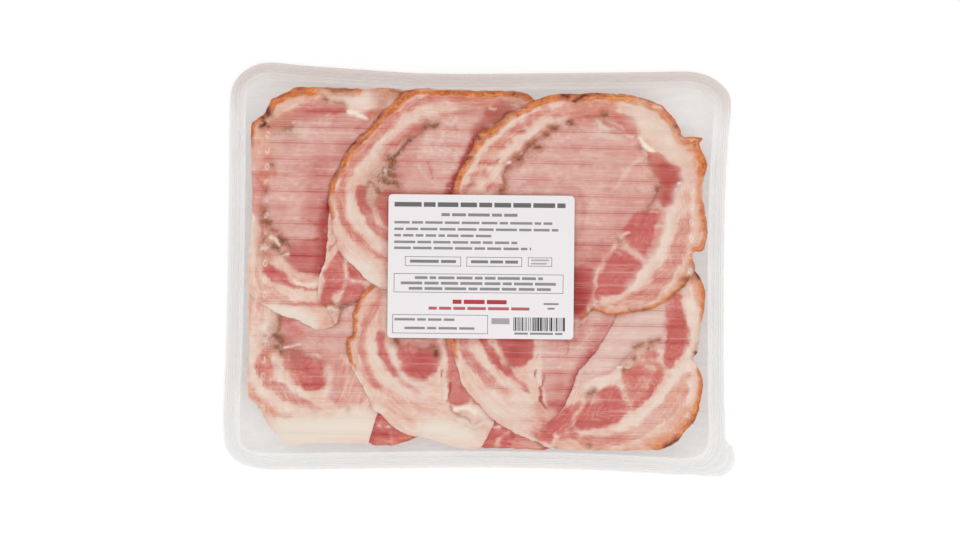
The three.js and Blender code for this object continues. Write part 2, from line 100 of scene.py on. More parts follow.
SLICES = {
    "slice_top_right": {
        "outline": """
 -13,38.5 -11.9,44.9 -9.6,50.2 -4.4,59.5 -2.1,65 -0.2,69.1 4.4,70.8 8.1,74.6 12.9,78.6 19.8,81.2 24.8,84.4
 37.2,88.7 45.7,88.7 59,89.6 67.5,89.3 76.2,88.6 83.3,86.5 90.3,83.9 93.5,81.2 97.4,76.5 99.9,71.9 101.3,68.7
 107.1,68.8 111.7,67.5 109.7,64.9 111.2,60.7 113.8,55.2 113.4,52.1 111.7,46.6 111.7,39.1 113.2,30.6
 114.3,23.2 113.6,15.6 111.5,10.9 108.4,11 107.2,8 108.6,3 106.4,-2 102,-7.7 95.6,-13 88.6,-17.3 82.7,-19.1
 65.7,-21.1 58,-19.5 48,-27 30,-27 8,-17 -6,-1 -12,18""",
        "strokes": """
fat area: -17,38 -13,48 -6,60 3,70 14,79 26,84 42,87 60,87.5 80,85 90,80 98,72 108,66 112,52 112,30 110,8
 104,-4 94,-14 70,-22 52,-22 54,-14 66,-14 75,-6 81,2 87,9 91,20 93,31 97,36 99,44 100,50 92,54 86,60 80,66
 77,74 66,78 56,73 46,73.5 36,72 26,64 19,57 12,51 10,44 9,38
pink area 0.8: 33,78 40,82.4 50,84.2 60,84.4 66.6,83 66.6,79 60,77.6 50,77.4 42,77.4
tan 5 0.35 3: 44,83 54,83 64,82
pink 3.6 0.85: -8.6,41 -5,42.6
pink 3.8 0.95: -5,47.6 1,48.6
pink 3.4: -1,53 6.6,54
pink 2.2 0.7: 2,57.4 6,58
pink 2.8 0.95: 4,60.4 10,61.2
pink 3: 7,63.7 13.4,64.6
pink 3.4 0.9: 11.6,67 15.4,68.2
pink area: 13.6,70 16,73 19.4,74.4 21.2,72 20.6,69 17.4,68
pink 4.4 0.85: 23,73.6 24.4,76
pink 3.8 0.95: 28,77.4 32,79.4
pink 3 0.75: 37,78 41,79.4
pink 3 0.7: 46,78.6 53,79
pink 3.6 0.9: 3,41 8.4,42
pink 2 0.7: 8.4,46 9.4,50 11,53
muscle 4 0.6: 13.4,54.6 17,57
muscle 3.4 0.6: 17,57.4 21,60.6 25,63.6
pink 3.4 0.8: 26,64.6 30,68 34,71
muscle 2.8 0.5: 46,75 50,76.2 54,76.4
pink 2 0.7: 44,72.6 51,72.8 57,71.4
muscle area 0.8: 57,76.6 66,77.4 75,76.4 77,73 77.4,68 76,65.6 73,65.6 69,66.6 64,69 60,72 57,74.6
fat 2 0.85: 55.8,76 56,73.4
tan 1.6 0.6: 57,77 66,77.4 75,76.4
pale 1.8 0.9: 57,74.4 61,71.4 66,69.4 71,67.4 75,66.8
pale 1.1 0.65: 62,75.6 67,72.4 71,70.4
pale 4 0.5 3: 57,68.6 63,68.6 68,66
deep 1.8 0.4 1.2: 64.6,69.6 68,68.2 71.4,67
muscle area: 82.6,58.6 86,59.4 89,58.4 92,56 93.2,53.2 96,52.6 99.4,49.6 98,45 96.6,40 96,36 94,33.4
 91.6,31.4 89.6,32.4 88.8,36 89.2,41 88.2,45 86,48.6 84.6,53
deep 5 0.9 3.4: 90,52 95,49.6 96,46
deep 4 0.75 3: 92.6,45 92.4,39 92.4,35
wet 2 0.35 2: 93,49.4 97,48.6
wet 1 0.7 0.8: 89.6,43.8 97,43.4
muscle area 0.92: 70.8,20.6 72,24 75,27 79,29.2 84,30.2 88.6,29.6 89.4,26 86.8,23 86.4,18 85.6,13.6 84,10.6
 82,8.2 79.6,7 76.4,10.4 73.6,12.6 71,15 73.4,18.8
deep 2.4 0.4 2: 72.6,22 76,26 82,28.8 88,29.2
pink area 0.8: 86,30 90.6,30.6 91.2,24 90.2,17 88.2,12 85.4,8.6 83.6,9.6 85.6,14 86.6,20 87.6,26
bright 0.7 0.5: 84,29 88,28.6
bright 0.6 0.7: 86,21.3 90.6,21.3
muscle area: 66.4,11.2 68.4,10.6 72.4,8.8 76.4,6.4 79,3.8 80,1 78,-2 75,-5.4 71.4,-9 67.4,-12 60,-13 57,-12
 56.6,-7 58.4,-3 60.6,1 63,5.4 65,9
deep 6 0.3 5: 61,-3 67,-8
pale 1 0.4: 66,9.4 69,7.6
fat 1.6 0.8: 69.6,12.6 74,9.8 78,7.2 80.6,5 84,4.4
fat 1.7: 73.4,19 70,17 67.8,14 65,10 62,6 59.8,3 58,0 56.8,-4 56,-8 55,-12 54,-16 53,-20
bright 0.7 0.6: 59,1.4 57.2,-3 56.2,-7
fat area 0.9: 60,-13 67,-12.4 70,-14 66,-16 64,-19.4 58,-21 53,-21 54.6,-16 57,-14.6
muscle 1.6 0.9: 57,-13 58.6,-13.8
muscle 2.6 0.6: 57.4,-17 61.6,-18
bright 1 0.6: 53,-18.6 53.6,-20.4
pink 3 0.35 2: 102.8,37 103,28
pink area 0.75 1.8: 101.6,27 105.4,26 104.8,20 103.4,13 101.6,6 98.4,0 95.4,-5 92,-10 87,-14 82,-17 74,-18.6
 66,-18.6 64,-16.6 70,-14 75,-11.6 80,-8.6 84,-5.4 87,-2 90,3 93,9 96,16 98,22 99.6,26
muscle 4 0.3 3: 86,-3.4 91,-6
muscle 3 0.25 2.6: 76,-13 83,-11 88,-9.6
fat 1.6 0.85: 105.8,36 105.8,24 104.8,15 102.8,8 100,2.6 97,-3 94,-8 90,-13 86,-16.6 82,-18.4
pale 12 0.5 6: 78,78 88,69 97,58
pale 5 0.6 2.6: 99,46 95.6,34 93,22 89.6,11 83,1 74,-8
pale 3 0.4 2: 6,47 11,56 18,63 27,71
pale 3 0.4 1.4: -6,50 0,60 8,68 16,75.6
pink 6 0.7 3: 47,77.4 55,76.8 63,76.4
tan 34 0.14 12: 82,70 92,52
wet 7 0.4 3: 91.6,49 95,44 91.6,37
deep 5 0.25 3: 96,74 91,78.4 84,82
tan 8 0.95 3.2: 101,65.6 106,62 108.6,57 109.6,54
muscle 3.4 0.35 2.2: 50,76.8 57,77 66,77
tan 4 0.5 1.8: 109.4,36 110,20 108.6,10
rind 4.6 0.9: -3,66 1,69.6 5,71.6 8,75 12,79 17,82.4 21,84
rind 3.2: -16,38 -12.4,48 -9,55 -6,61 -3.4,66 1,69.6 5,71.6 8,75 12,78 16,80.4 22,83 27,85.6
rind 3.6: 27,85.6 36,87.8 46,87.6 56,88.4 66,88 75,87
rind 4.2: 75,87 83,84.6 88,82 92.4,79.4 96,75.6 98.6,70 100,66.6
tan 7 0.8 3.4: 97,68 101,62.6 106,60 109,55 110.4,50
rind 4 0.9: 100,66.6 106,66.8 110,65 109,60 112,55 112.6,51
tan 1 0.9: 101,60 108,60.2
deep 1 0.5 0.9: 102,59.8 108,60
tan 3 1 1.8: 108.6,50 108.8,40 109.4,30 110.6,22 110,12 108.4,8.4
rind 2.4 0.7: 112.4,30 112.4,20 111.6,12 109,8
tan 9 0.45 3.4: 99,61 103,56
tan 8 0.3 3: -4,54 0,61 6,67
stain 6 0.7 3: 17,53 23,58 28,62
stain 6 0.5 2.4: 54,76 62,76
tan 4 0.8 1.6: 106,9 104,4 101.6,-1 98.6,-7 95,-12 90,-15.6
tan 2.6 0.5 1.4: 90,-16 85,-18.4
rind 1.7 0.9: 104.6,2 103,-5 99,-10.6 94,-14.6 88,-18.4 80,-20.6 70,-21.4 60,-22.4 53,-21.4
tan 2.4 0.5: 60,-21 70,-20.6
pale 3 0.8 1.4: 103.4,0.6 103.6,-2
herb 2: 9,39 10.2,39.8
herb 0.8 0.9: 10.2,42 11.4,48 13,51.2
herb 1.2: 12.6,50.6 13.6,51.8
herb 1 0.5: 14,52.4 16.4,53.8
herb 1.9 0.9: 17.4,55.6 19.6,55.4
herb 1: 20,57 21.6,59 24,61.4 26,62.8
herb 0.8 0.9: 26,62.8 26.8,64.6
herb 1.5: 23,62.3 24,62
herb 1.5: 26.6,60.6 28.6,61
herb 1.6: 32,68
herb 0.9 0.5: 28.6,65 31,67
herb 2.2: 34.8,71.3 36.6,71.4
herb 1.9: 43.4,73.6 45,73.6
herb 1.7: 60,78.2 61.4,78.4
herb 1.4 0.6: 79,62 82,60
herb 1.4 0.45: 82.4,58 84.2,52 86.4,47
herb 1.6 0.9: 88.4,41.8 87.8,39.6
herb 1.1 0.7: 87,37 85,34.4 82,31
herb 1.1 0.9: 68.4,14.4
herb 1.8 0.6: 104,1 106,0
herb 1.8 0.9: 101,-5 103,-5.4
herb 1.8: 81,-20.2
herb 1.2 0.6: 74,-20 77,-20
herb 1.6 0.9: 54.6,-20.4
char 1.6: 46.6,84.8 49,86 52.2,88
char 1.7: 39.8,87.4 42.8,87
char 1.1 0.95: 6.2,73.4 9,76 12,77.9 15,80
char 1.4 0.9: -7.4,55.8 -6.4,56.4
char 1.5: -1.2,65.6
char 1.4 0.7: 57,88.2 59,88.3
char 1.6: 100.4,-9.8
char 1.1 0.7: 96,71.6 97,71.2
char 0.9 0.5: 96,-12.4 99,-11.6
char 1.1 0.6: 108,65.6 110.4,65
char 0.8 0.3: -5.6,45 -6.2,42 -8,39
fat 2.2: 79,67 81.4,63.4 85,60
bright area 0.95 0.7: 78.2,66.4 80,66.4 81.2,64 84,61.6 86.2,59.8 85.6,58.6 83,59.6 81,60.8 79.6,63
tan 1.6 0.7: 82,64.4 84.6,62.4
bright 0.9 0.6: 80.4,60 82.2,57.6
bright 1.5: 98.4,43.8
bright 0.8 0.8: 97.2,40.4
bright 0.7 0.6: 99,48.4
bright 1.3: 12.4,53.3 14,53.2
bright 0.9 0.8: 8.4,46.6 8.8,44
bright 0.8 0.8: 19.4,58.2
bright 0.8 0.85: 86,82 88,81.6 89.4,80
wet 0.9 0.7 0.5: 4.2,55.6
wet 0.9 0.9 0.5: 7.6,55 8.6,55.8
pale 1.2 0.6: 72,48.6 75,52 80,56.6
pale 1.6 0.35: 66,40 69,44 72,48.6
deep area 1 3.4: 42,1 56,1.6 56.6,-4 55.2,-12 53,-18 50,-22 42,-22
wet 9 0.95 4.6: 45,-4 47.6,-10 47.6,-19
wet 1 0.5 0.8: 45,-1.4 55,-0.6
deep 12 0.6 6: 46,10 54,5 59,8
deep 8 0.25 6: 68,24 72,30""",
    },
    "slice_top_middle": {
        "outline": """
 -75.5,34 -74.5,42.5 -70.5,49 -67,57.5 -61.5,65 -56,70 -49,78.5 -42.5,84 -39.5,88 -33,90 -16,90 -0.5,89.5
 22,89 27,85.5 37,76 43,58 43,34 38,10 27,-9 8,-22 -14,-25 -32,-19 -45,-12 -56.5,-5 -60.5,-0.5 -66,4 -69,8
 -72,16 -74,25""",
        "strokes": """
fat area: -79,34 -77,46 -72,56 -60,69 -50,79 -40,88 -28,90.5 24,89 22,84 16,80.4 4,81.4 -6,80.4 -18,78.4
 -22,75.6 -28,71.6 -36,65.4 -41,61 -45,56 -46,50 -45,42 -44,30 -46,-8 -56,-8 -66,2 -74,14 -77,26
pink 4.4 0.85: -71,36 -70,42 -67.4,49 -63.6,55.6 -58.2,62 -52.6,68 -47,73.4 -43,77
pink 6 0.8: -64,55 -59,59.6
pink 5.4 0.85: -56.6,64 -51,69.6
pink 4.6 0.9: -49,73.6 -44.6,77
tan 2.6 0.4: -42,78.6 -39,79
muscle 3.4 0.5: -38.6,80 -34.4,82.6
pink 4.6 0.85: -37,81.6 -30,84.6 -22,86 -12,85.6
pink 4.8 0.85: -12,85.4 0,84.4 10,84
tan 4 0.3 3: -10,84 6,84.4
fat 1 0.7: -73.6,40 -71,48 -67,55 -62,61.4 -56,67 -50,73
fat 1.4 0.7: -42,83.6 -36,86 -30,87.6
pink 5 0.5 2.4: -53,66 -46,72
pink 3.6 0.75: -51,58.4 -46,61
muscle 4 0.45: -47,62.4 -41,66.4
muscle 4.2 0.75: -40,66 -34,69.6 -28.6,72.6
pink 2.6 0.7: -30,74.4 -24,75.6 -18,77.4
deep 2 0.5 1.6: -34,71 -28,73.6
pink 2.4 0.6: -14,79.4 -4,80.4
muscle area 0.75: 1,80.6 16,81 12,77.6 9,75 6,72.6 3,74
deep 4.6 0.9 2.6: 6,78.6 12,79.4
wet 1.6 0.4 1.4: 4,79.6 13,80.4
fat 2.6 0.8: 12,85.4 16,83.8 20,84.4
tan 4 0.85: 18,87 25,85
bright 0.7 0.7: 4,81 7,80.6
pink 4.8 0.9: -71,37 -71,31 -70,26 -68,22 -65,18 -62,15.4
pink 3 0.85: -62,15.4 -59,12.4 -56,9.4 -53,7.4 -49,5
muscle 2.6 0.3 1.6: -68.4,22 -65,18.4
muscle 5.2: -60.6,40 -60,34.6 -59,30
muscle 4.4 0.85: -59,30 -57,26 -54,21.4 -50,18 -45,15.6
deep 3 0.5 2: -60.4,40 -60,36
pale 0.8 0.4: -59.4,31 -57.2,26 -54.4,22 -51,19
muscle area 0.85: -54,34 -52,38 -47,39.6 -44,38 -44,18 -49,22.6 -52.4,29
deep 4 0.5 3: -49.4,36 -49,28
pink 0.8 0.5: -63,25 -58.6,19.4 -54,15
pink 1.4 0.5: -76,24 -74.6,19 -73,15
rind 3.7 0.95: -68,59 -64,65 -58.6,71.6 -52,77.6 -46,84 -41,88
rind 2.8: -78,30 -77.4,36 -76.4,44 -73.4,50 -71.4,55 -68,60 -64,65 -60,68.4 -57,71 -54,74 -51,79 -48,81.4
 -44,84 -41,87.4
rind 3.2: -41,87.4 -35,90.2 -20,90.4 0,90 15,89 21,88.4 26,85.6
char 1.4: -67.6,60 -65.4,62.6 -63.2,64
char 1.5: -63.6,66 -60.6,68
char 1.5: -53,76.8 -50.2,79.4
char 1.2 0.6: -54.6,73.6 -53.4,74.6
char 1 0.5: -73.4,47.6 -71.4,54
char 1.3 0.8: -42.4,88 -40,88.6
char 1.3 0.95: 15,88.2
char 0.8 0.4: -38,89.4 -33,90.6
char 0.9 0.5: 17,87 24,86
char 0.8 0.6: -12,88.4
char 0.7 0.9: -44.6,56 -42,59 -40,61.6 -36.4,65
herb 0.9 0.7: -44.6,56 -40,61.6
herb 1.3 0.8: -40,61.6 -40,60
herb 1.3: -37,64.6 -35.6,65.6
herb 0.7 0.8: -35.6,65.6 -31,68.6
herb 1.2 0.9: -30.4,68.8
herb 2 0.85: -29,70.6 -26,71.6
herb 1.9: -25,71.6 -22.6,72.6
herb 1 0.4: -31,72.4 -28,73
herb 3.4 0.95: -46.6,55 -44.8,54
herb 2.4 0.85: -46.4,52 -45,51.4
herb 2 0.75: -49,50 -50,48.6
herb 3 0.9: -46.6,48.6 -45,47.4
herb 3 0.95: -49,45 -47,43.6
herb 1.8: -45,43.4 -42.8,42.6
herb 1.4 0.9: -52.2,47.4
herb 0.9 0.9: -52,45 -49,46.6 -46,47
herb 0.8 0.8: -57.6,41 -57,42.6 -55,43 -53.4,41.6
herb 1.9 0.9: -53,40.6 -52.2,38.4
pale 4 0.5 2: -50,48 -48,46
bright 1 0.9: -48.6,49.6
bright 0.8 0.6: -48,47.6
wet 3.4 1 1.3: -16.6,36 -15,42 -13,47 -10,52 -7.4,57.4 -5,62.4 -3,67 1,70.4
wet 2.4 0.8 1.2: -18.6,37 -16.6,43
wet 4 0.45 2.6: 2,72 7,76
deep 4 0.6 2.2: -17.6,36 -15,45 -11.4,51.6 -8,57.4 -5.6,63 -3,69 1,74
pink 5 0.8 2.2: -50,57 -44,63.6 -38,69 -30,73.6
deep 2.4 0.45 1.8: -44,62.4 -38,68 -31,72.6
stain 7 0.75 2.6: -2,71 4,75 11,81 19,83
stain 5 0.4 2.6: -11,81 1,80.4
stain 15 0.66 6: -51,46 -51,40 -54,35
rind 4.6 0.8: -48,82 -44,86 -40,89
deep 5 0.6 3: 3,79 12,80.6
tan 3 0.5 2: 14,86 22,87
pale 5 0.35 3: -60,50 -54,58 -46,65.6 -38,72 -28,77.6
pale 9 0.7 4: -66,4 -57,-2 -50,-7
pale 4 0.5 2: -66,35 -64.6,28 -60,21.6 -54,15.4 -49,11.6
pale 2.4 0.5 1.6: -74.6,36 -74,28
deep 4 0.4 3: -46,38.6 -20,38.4
deep 5 0.25 4: -42,45 -40,52 -36,58
deep 0.6 0.9 0.5: -28,54 -26,49.6 -24,46
deep 0.6 0.9 0.5: -22.4,46.4 -20.6,44
pale 0.6 0.6 0.5: -32,53 -30.6,48.6 -27,45.6 -24,44
pale 3 0.4 3: -28,60 -28,68""",
    },
    "slice_low_right": {
        "outline": """
 69,-24 63,-35 57,-43.5 50.5,-51.5 47.5,-60.5 43.5,-68.5 30.5,-83.5 35,-87.5 62.5,-89 94.5,-87.6 98.4,-86
 102,-83 104.4,-80 107.7,-76.2 110.8,-71.5 112,-65.5 113.5,-54.5 110.5,-46 108.5,-42.5 110.5,-39.5 111.5,-29
 112.5,-22.5 114,-9.5 110.5,-1 101,6 88,0 76,-11""",
        "strokes": """
pale area 0.42 3: 70,-23 62,-33 50,-52 46,-60 60,-52 70,-47 80,-40 90,-36 92,-24 92,-14 80,-18
pale 5 0.6 2: 52,-60 60,-55.6 68,-52.4
fat area: 98,-4 108,-2 114,-10 113,-25 110,-42 113,-56 110,-70 100,-84 90,-92 60,-92 28,-89 26,-80 34,-72
 40,-69.6 42.6,-64 45,-60 50,-57 58,-53.4 65,-50 70,-47.4 76,-45 82,-40 90,-40 92,-46 96,-47 101,-42 104,-34
 102,-24 98,-14
muscle area: 92,-10 98,-12 100.6,-22 102.6,-28 103.4,-33 102,-38 99.6,-43 96,-47 93.6,-49.4 91.6,-48 90.8,-45
 91.6,-40 92.4,-33 91.8,-25
deep 6 0.5 4: 95,-29 99,-34
deep 3 0.4 2: 94,-45 93.6,-48
wet 0.8 0.5 0.7: 92.6,-28.2 101,-28.2
wet 0.8 0.5 0.7: 93,-36.4 102,-36.4
muscle area 0.75: 79.6,-42.6 85,-40.2 88.4,-41.6 88,-44.4 83,-45.2 80,-44.6
pink area: 70,-50 74,-48 80,-46 86,-46.6 90.6,-48.6 90,-53 87,-58 84,-63 80,-67.6 76,-70 73,-69.6 71,-64
 70,-58
muscle area 0.8: 70.4,-50.4 74,-48.2 79,-48 79.6,-52 77,-55 72,-55.4
muscle 4 0.75: 88.6,-52 85,-58 81.4,-63 77.6,-67
muscle 3 0.4: 76,-56 77,-61
fat 1.2 0.7: 71.4,-60 72.6,-65 74.6,-68.6
fat 1.2 0.35: 80,-53 82.6,-56.4 82,-60
pale 1.4 0.6: 82,-48 86,-50
pink 2 0.6: 84,-48 89,-47.4
muscle area 0.85: 57,-60.2 62,-58.2 67,-58.2 69,-61 70.6,-65 72,-70 71,-73 66,-76.6 58,-79.6 50,-80.6 46,-79
 46,-75 49,-70 52,-66 55,-62.6
wet 0.7 0.4 0.7: 50,-67.6 70,-67.8
wet 0.7 0.4 0.7: 46,-76 64,-76
muscle area 0.85: 26,-81.6 30,-76 33.4,-72.4 38,-70.4 42,-68 46,-66.8 51,-66.4 48,-70 45,-74 43,-78 41,-82
 36,-83 35,-86 27,-84.8
deep 4 0.5 3: 31,-80.6 34,-77
tan 2.4 0.8: 26.6,-80.6 28.6,-84
fat 1.2 0.85: 55,-60.6 52,-64 49,-69 46.4,-73 44.6,-76 43.6,-78.4
wet 1.4 0.5 1: 43.6,-78.8 44.6,-80.6
muscle 2.6 0.8: 39.4,-84 43,-83.4 47,-82.8
fat 2 0.7: 36.6,-83 38,-87
muscle 1.6 0.4: 31,-86 35,-87
pink area 0.72 1.6: 46,-84 52,-83.2 60,-83.4 68,-81.4 75,-78.8 79,-76 84,-71 89,-66 93,-61 97,-56 101,-51.6
 104,-52 104.6,-58 102,-65 97,-71 91,-76 84,-81 76,-86 68,-88 60,-88.6 50,-88
muscle 4 0.25 2.4: 52,-85.6 60,-86 68,-85
tan 5 0.35 3: 94,-66 100,-59
pale 2.4 0.7 1.4: 104.4,-55 104.2,-62
fat 1.8 0.9: 66,-89 74,-88 80,-86 86,-82 92,-77 97,-72.6 102,-68 104.6,-63
fat 9 0.5 4: 99,-58 94,-67 86,-75 76,-81
loin 3.4 0.7 1.6: 89.4,-20 89.8,-35
muscle 4 0.6 2.2: 44,-73 44.6,-82
tan 5 0.9 2.4: 105,-2 108,-9 109.6,-16
tan 9 0.85 3: 103.4,-73 102.4,-76 99,-80 93,-85 85,-89
fat 5 0.5 2: 50,-61 56,-65
pale 6 0.6 3: 104,-18 107,-28 106,-40 102,-48
pale 4 0.7 2: 98,-52 92,-60 86,-67 78,-74 68,-78.6
tan 3.4 0.85 1.4: 108.6,-50 109.6,-56 108.4,-62 107.4,-67
rind 2.2 0.8: 110.6,-54 111,-58 109,-64 107.6,-69
rind 3 0.75: 107.4,-72 104,-78 99.6,-83.4 95,-87.4 89,-90.4
tan 3 0.6: 88,-89 80,-89.6 72,-89.6
rind 1.2 0.25: 74,-91 60,-90.6 40,-88.6
tan 3.4 1 1.6: 109.6,-8 110.2,-18 110,-27
tan 1.6 0.5 1.4: 106.6,-8 109,-18
rind 2 0.8: 112,-8 112.4,-20 111,-27
tan 3 0.5 1.6: 38,-86 44,-87
tan 2 0.7: 46,-88.4 51,-88.8
tan 1.8 0.7: 59,-89 63,-89.2
char 1.1: 107.2,-73.2 105,-76.6
char 1.3: 98.6,-84.4 96.6,-86
char 1.3: 95,-87 91,-89.4
char 1.9: 107,-1.6 108.6,-4
char 1.2 0.9: 107.2,-42 107.2,-43.4
char 0.6 0.4: 108.6,-33 107,-40
char 1 0.3: 104.4,-78 102,-80.6
herb 1.6 0.75: 76.6,-39 79.6,-37.4
herb 1.2 0.85: 83.6,-37 86,-35.6 89,-35.2
herb 1 0.7: 84,-35.6 85.6,-38.4
herb 1.2 0.8: 82.4,-39.4
herb 1.5 0.9: 76.4,-45
herb 1.3 0.8: 72.4,-48.6 71,-50
herb 1.4 0.85: 55.4,-60.6 53.4,-62.4
herb 1.2: 53.2,-88
herb 0.9 0.35: 80,-38 76,-41 72,-44 66,-49
herb 1 0.5: 37,-89
herb 1 0.4: 57.6,-89.8
tan 3 0.35 2: 86,-34 80,-38 76,-42
pink 2 0.9: 61.6,-51.2 63.6,-51
pink 1.6 0.8: 71.6,-43.6 74,-43.6
pink 1 0.6: 50.4,-56.4 52,-56.2
bright 1.2: 67,-48.8 69.6,-48.2
bright 0.9 0.8: 72,-48.6 73.4,-48
bright 1.2 0.9: 41.8,-62.2 43.4,-61.6
bright 1 0.9: 40.8,-65.6 42.4,-65.4
bright 0.8 0.35: 44.4,-61 47,-56 50.6,-50
bright 1 0.5: 104,-58.6 104,-56
deep 7 0.3 4: 58,-24 66,-24 72,-22.6""",
    },
    "slice_low_inner": {
        "outline": """
 -15.5,-34.5 -10,-46.5 -7,-57 1.5,-67 9.5,-75 20,-81 29.5,-85 42,-88 55,-81 66,-65 73,-45 74,-22 62,-8 31,-5
 6,-6 -11,-16 -17,-25""",
        "strokes": """
fat area: -20,-30 -14,-46 -10,-58 2,-72 12,-80 24,-86 40,-89 36,-78 32,-70 30.4,-58 30,-46 29.6,-34 26,-22
 -10,-20
rind area 0.85: -19,-33 -14,-33 -13.2,-40 -13,-46 -15,-43 -17,-38
muscle 5.6 0.5: -10.6,-33 -9.4,-38 -8,-43
muscle 5.2 0.55: -8,-43 -4,-48 0,-52 4,-55.6
pink 4.6 0.6: 4,-55.6 8.6,-59.4 12,-62
deep 1.4 0.6 1.2: -8,-47.4 -2,-47.8
muscle 4.2 0.95: 0,-33 2.6,-39 6,-44 9.4,-48.4 12.6,-51
muscle 2.8 0.8: 12.6,-51 17,-55.4 22.4,-60.6
deep 2 0.4 1.6: 7,-46 12,-50.4
muscle area 0.95: 6,-32 8,-38 10,-41.4 11.6,-45 13.6,-47.6 17,-48.8 21,-48 24,-45 25.6,-40 25.2,-35 25,-32
deep 8 0.9 5: 15,-41 19,-38
wet 4 0.6 3.4: 14.4,-40.4 17,-41.8
muscle 5 0.6 2: 26,-81 31,-84
pale 5 0.35 4: 31,-37 32.4,-46
pink 13 0.3 7: 16,-71 24,-77
pink 3 0.25 2: 14,-58 20,-64
pale 1.4 0.7: 14,-81.4 25,-85 35,-87.4
pink 7 0.75 3: 28,-70 32,-76
pink 4 0.4 3: 22,-71 26,-78
deep 9 0.4 4.6: 40,-55 37,-64
wet 14 0.22 7: 17,-41
pale 12 0.5 6: 4,-66 14,-72 22,-70
pale 3 0.5 2: -3,-40 2,-47 8,-54.6 15,-59
pale 5 0.4 3: 28,-40 26,-54
deep 8 0.9 3.6: 57,-40 51.6,-49 47.4,-56 44,-64 40,-69
wet 2 0.5 1.6: 54.6,-42 50,-49.4 46.2,-56.6 43.4,-63
deep 6 0.8 3: 35,-66.6 41,-67.4
deep 8 0.5 4: 64,-28 60,-34
wet 1.5 1 0.5: 28.4,-59 28.7,-62.4 29.7,-66
wet 1.1 1 0.4: 29.7,-66 31.6,-69
wet 1 0.95 0.4: 31,-53 29.8,-57.6
wet 0.9 0.95 0.4: 27,-50 26.8,-53
wet 0.5 0.6 0.4: 28,-43 27.5,-48
wet 0.6 0.6 0.4: 42,-35 42.3,-38 41.6,-43
herb 0.9 0.8: 13,-47.8
herb 0.9 0.4: 24,-40
bright 0.8 0.6: 28,-46 27.6,-50 28.6,-57
bright 0.7 0.6: 30.2,-63 32,-68.4
bright 0.8 0.8: 38.4,-49.3
bright 0.7 0.5: -12.6,-47 -10.8,-55 -8,-60
bright 1 0.5: 46,-28 49,-26 51,-23.6
tan 1.4 0.5: -2,-69 1.6,-73 4.6,-75.6""",
    },
    "slice_low_middle": {
        "outline": """
 -56.5,-11.5 -59,-16 -62,-23.5 -62.5,-34 -65,-35.5 -63.5,-46.5 -55.5,-61 -51,-70.5 -48,-72.5 -41,-79
 -32,-83.5 -26.5,-84 -12.5,-88 1.5,-89.5 7.5,-81 11,-72 18,-54 19,-34 11,-15 -6,-5 -28,-1 -46,-3""",
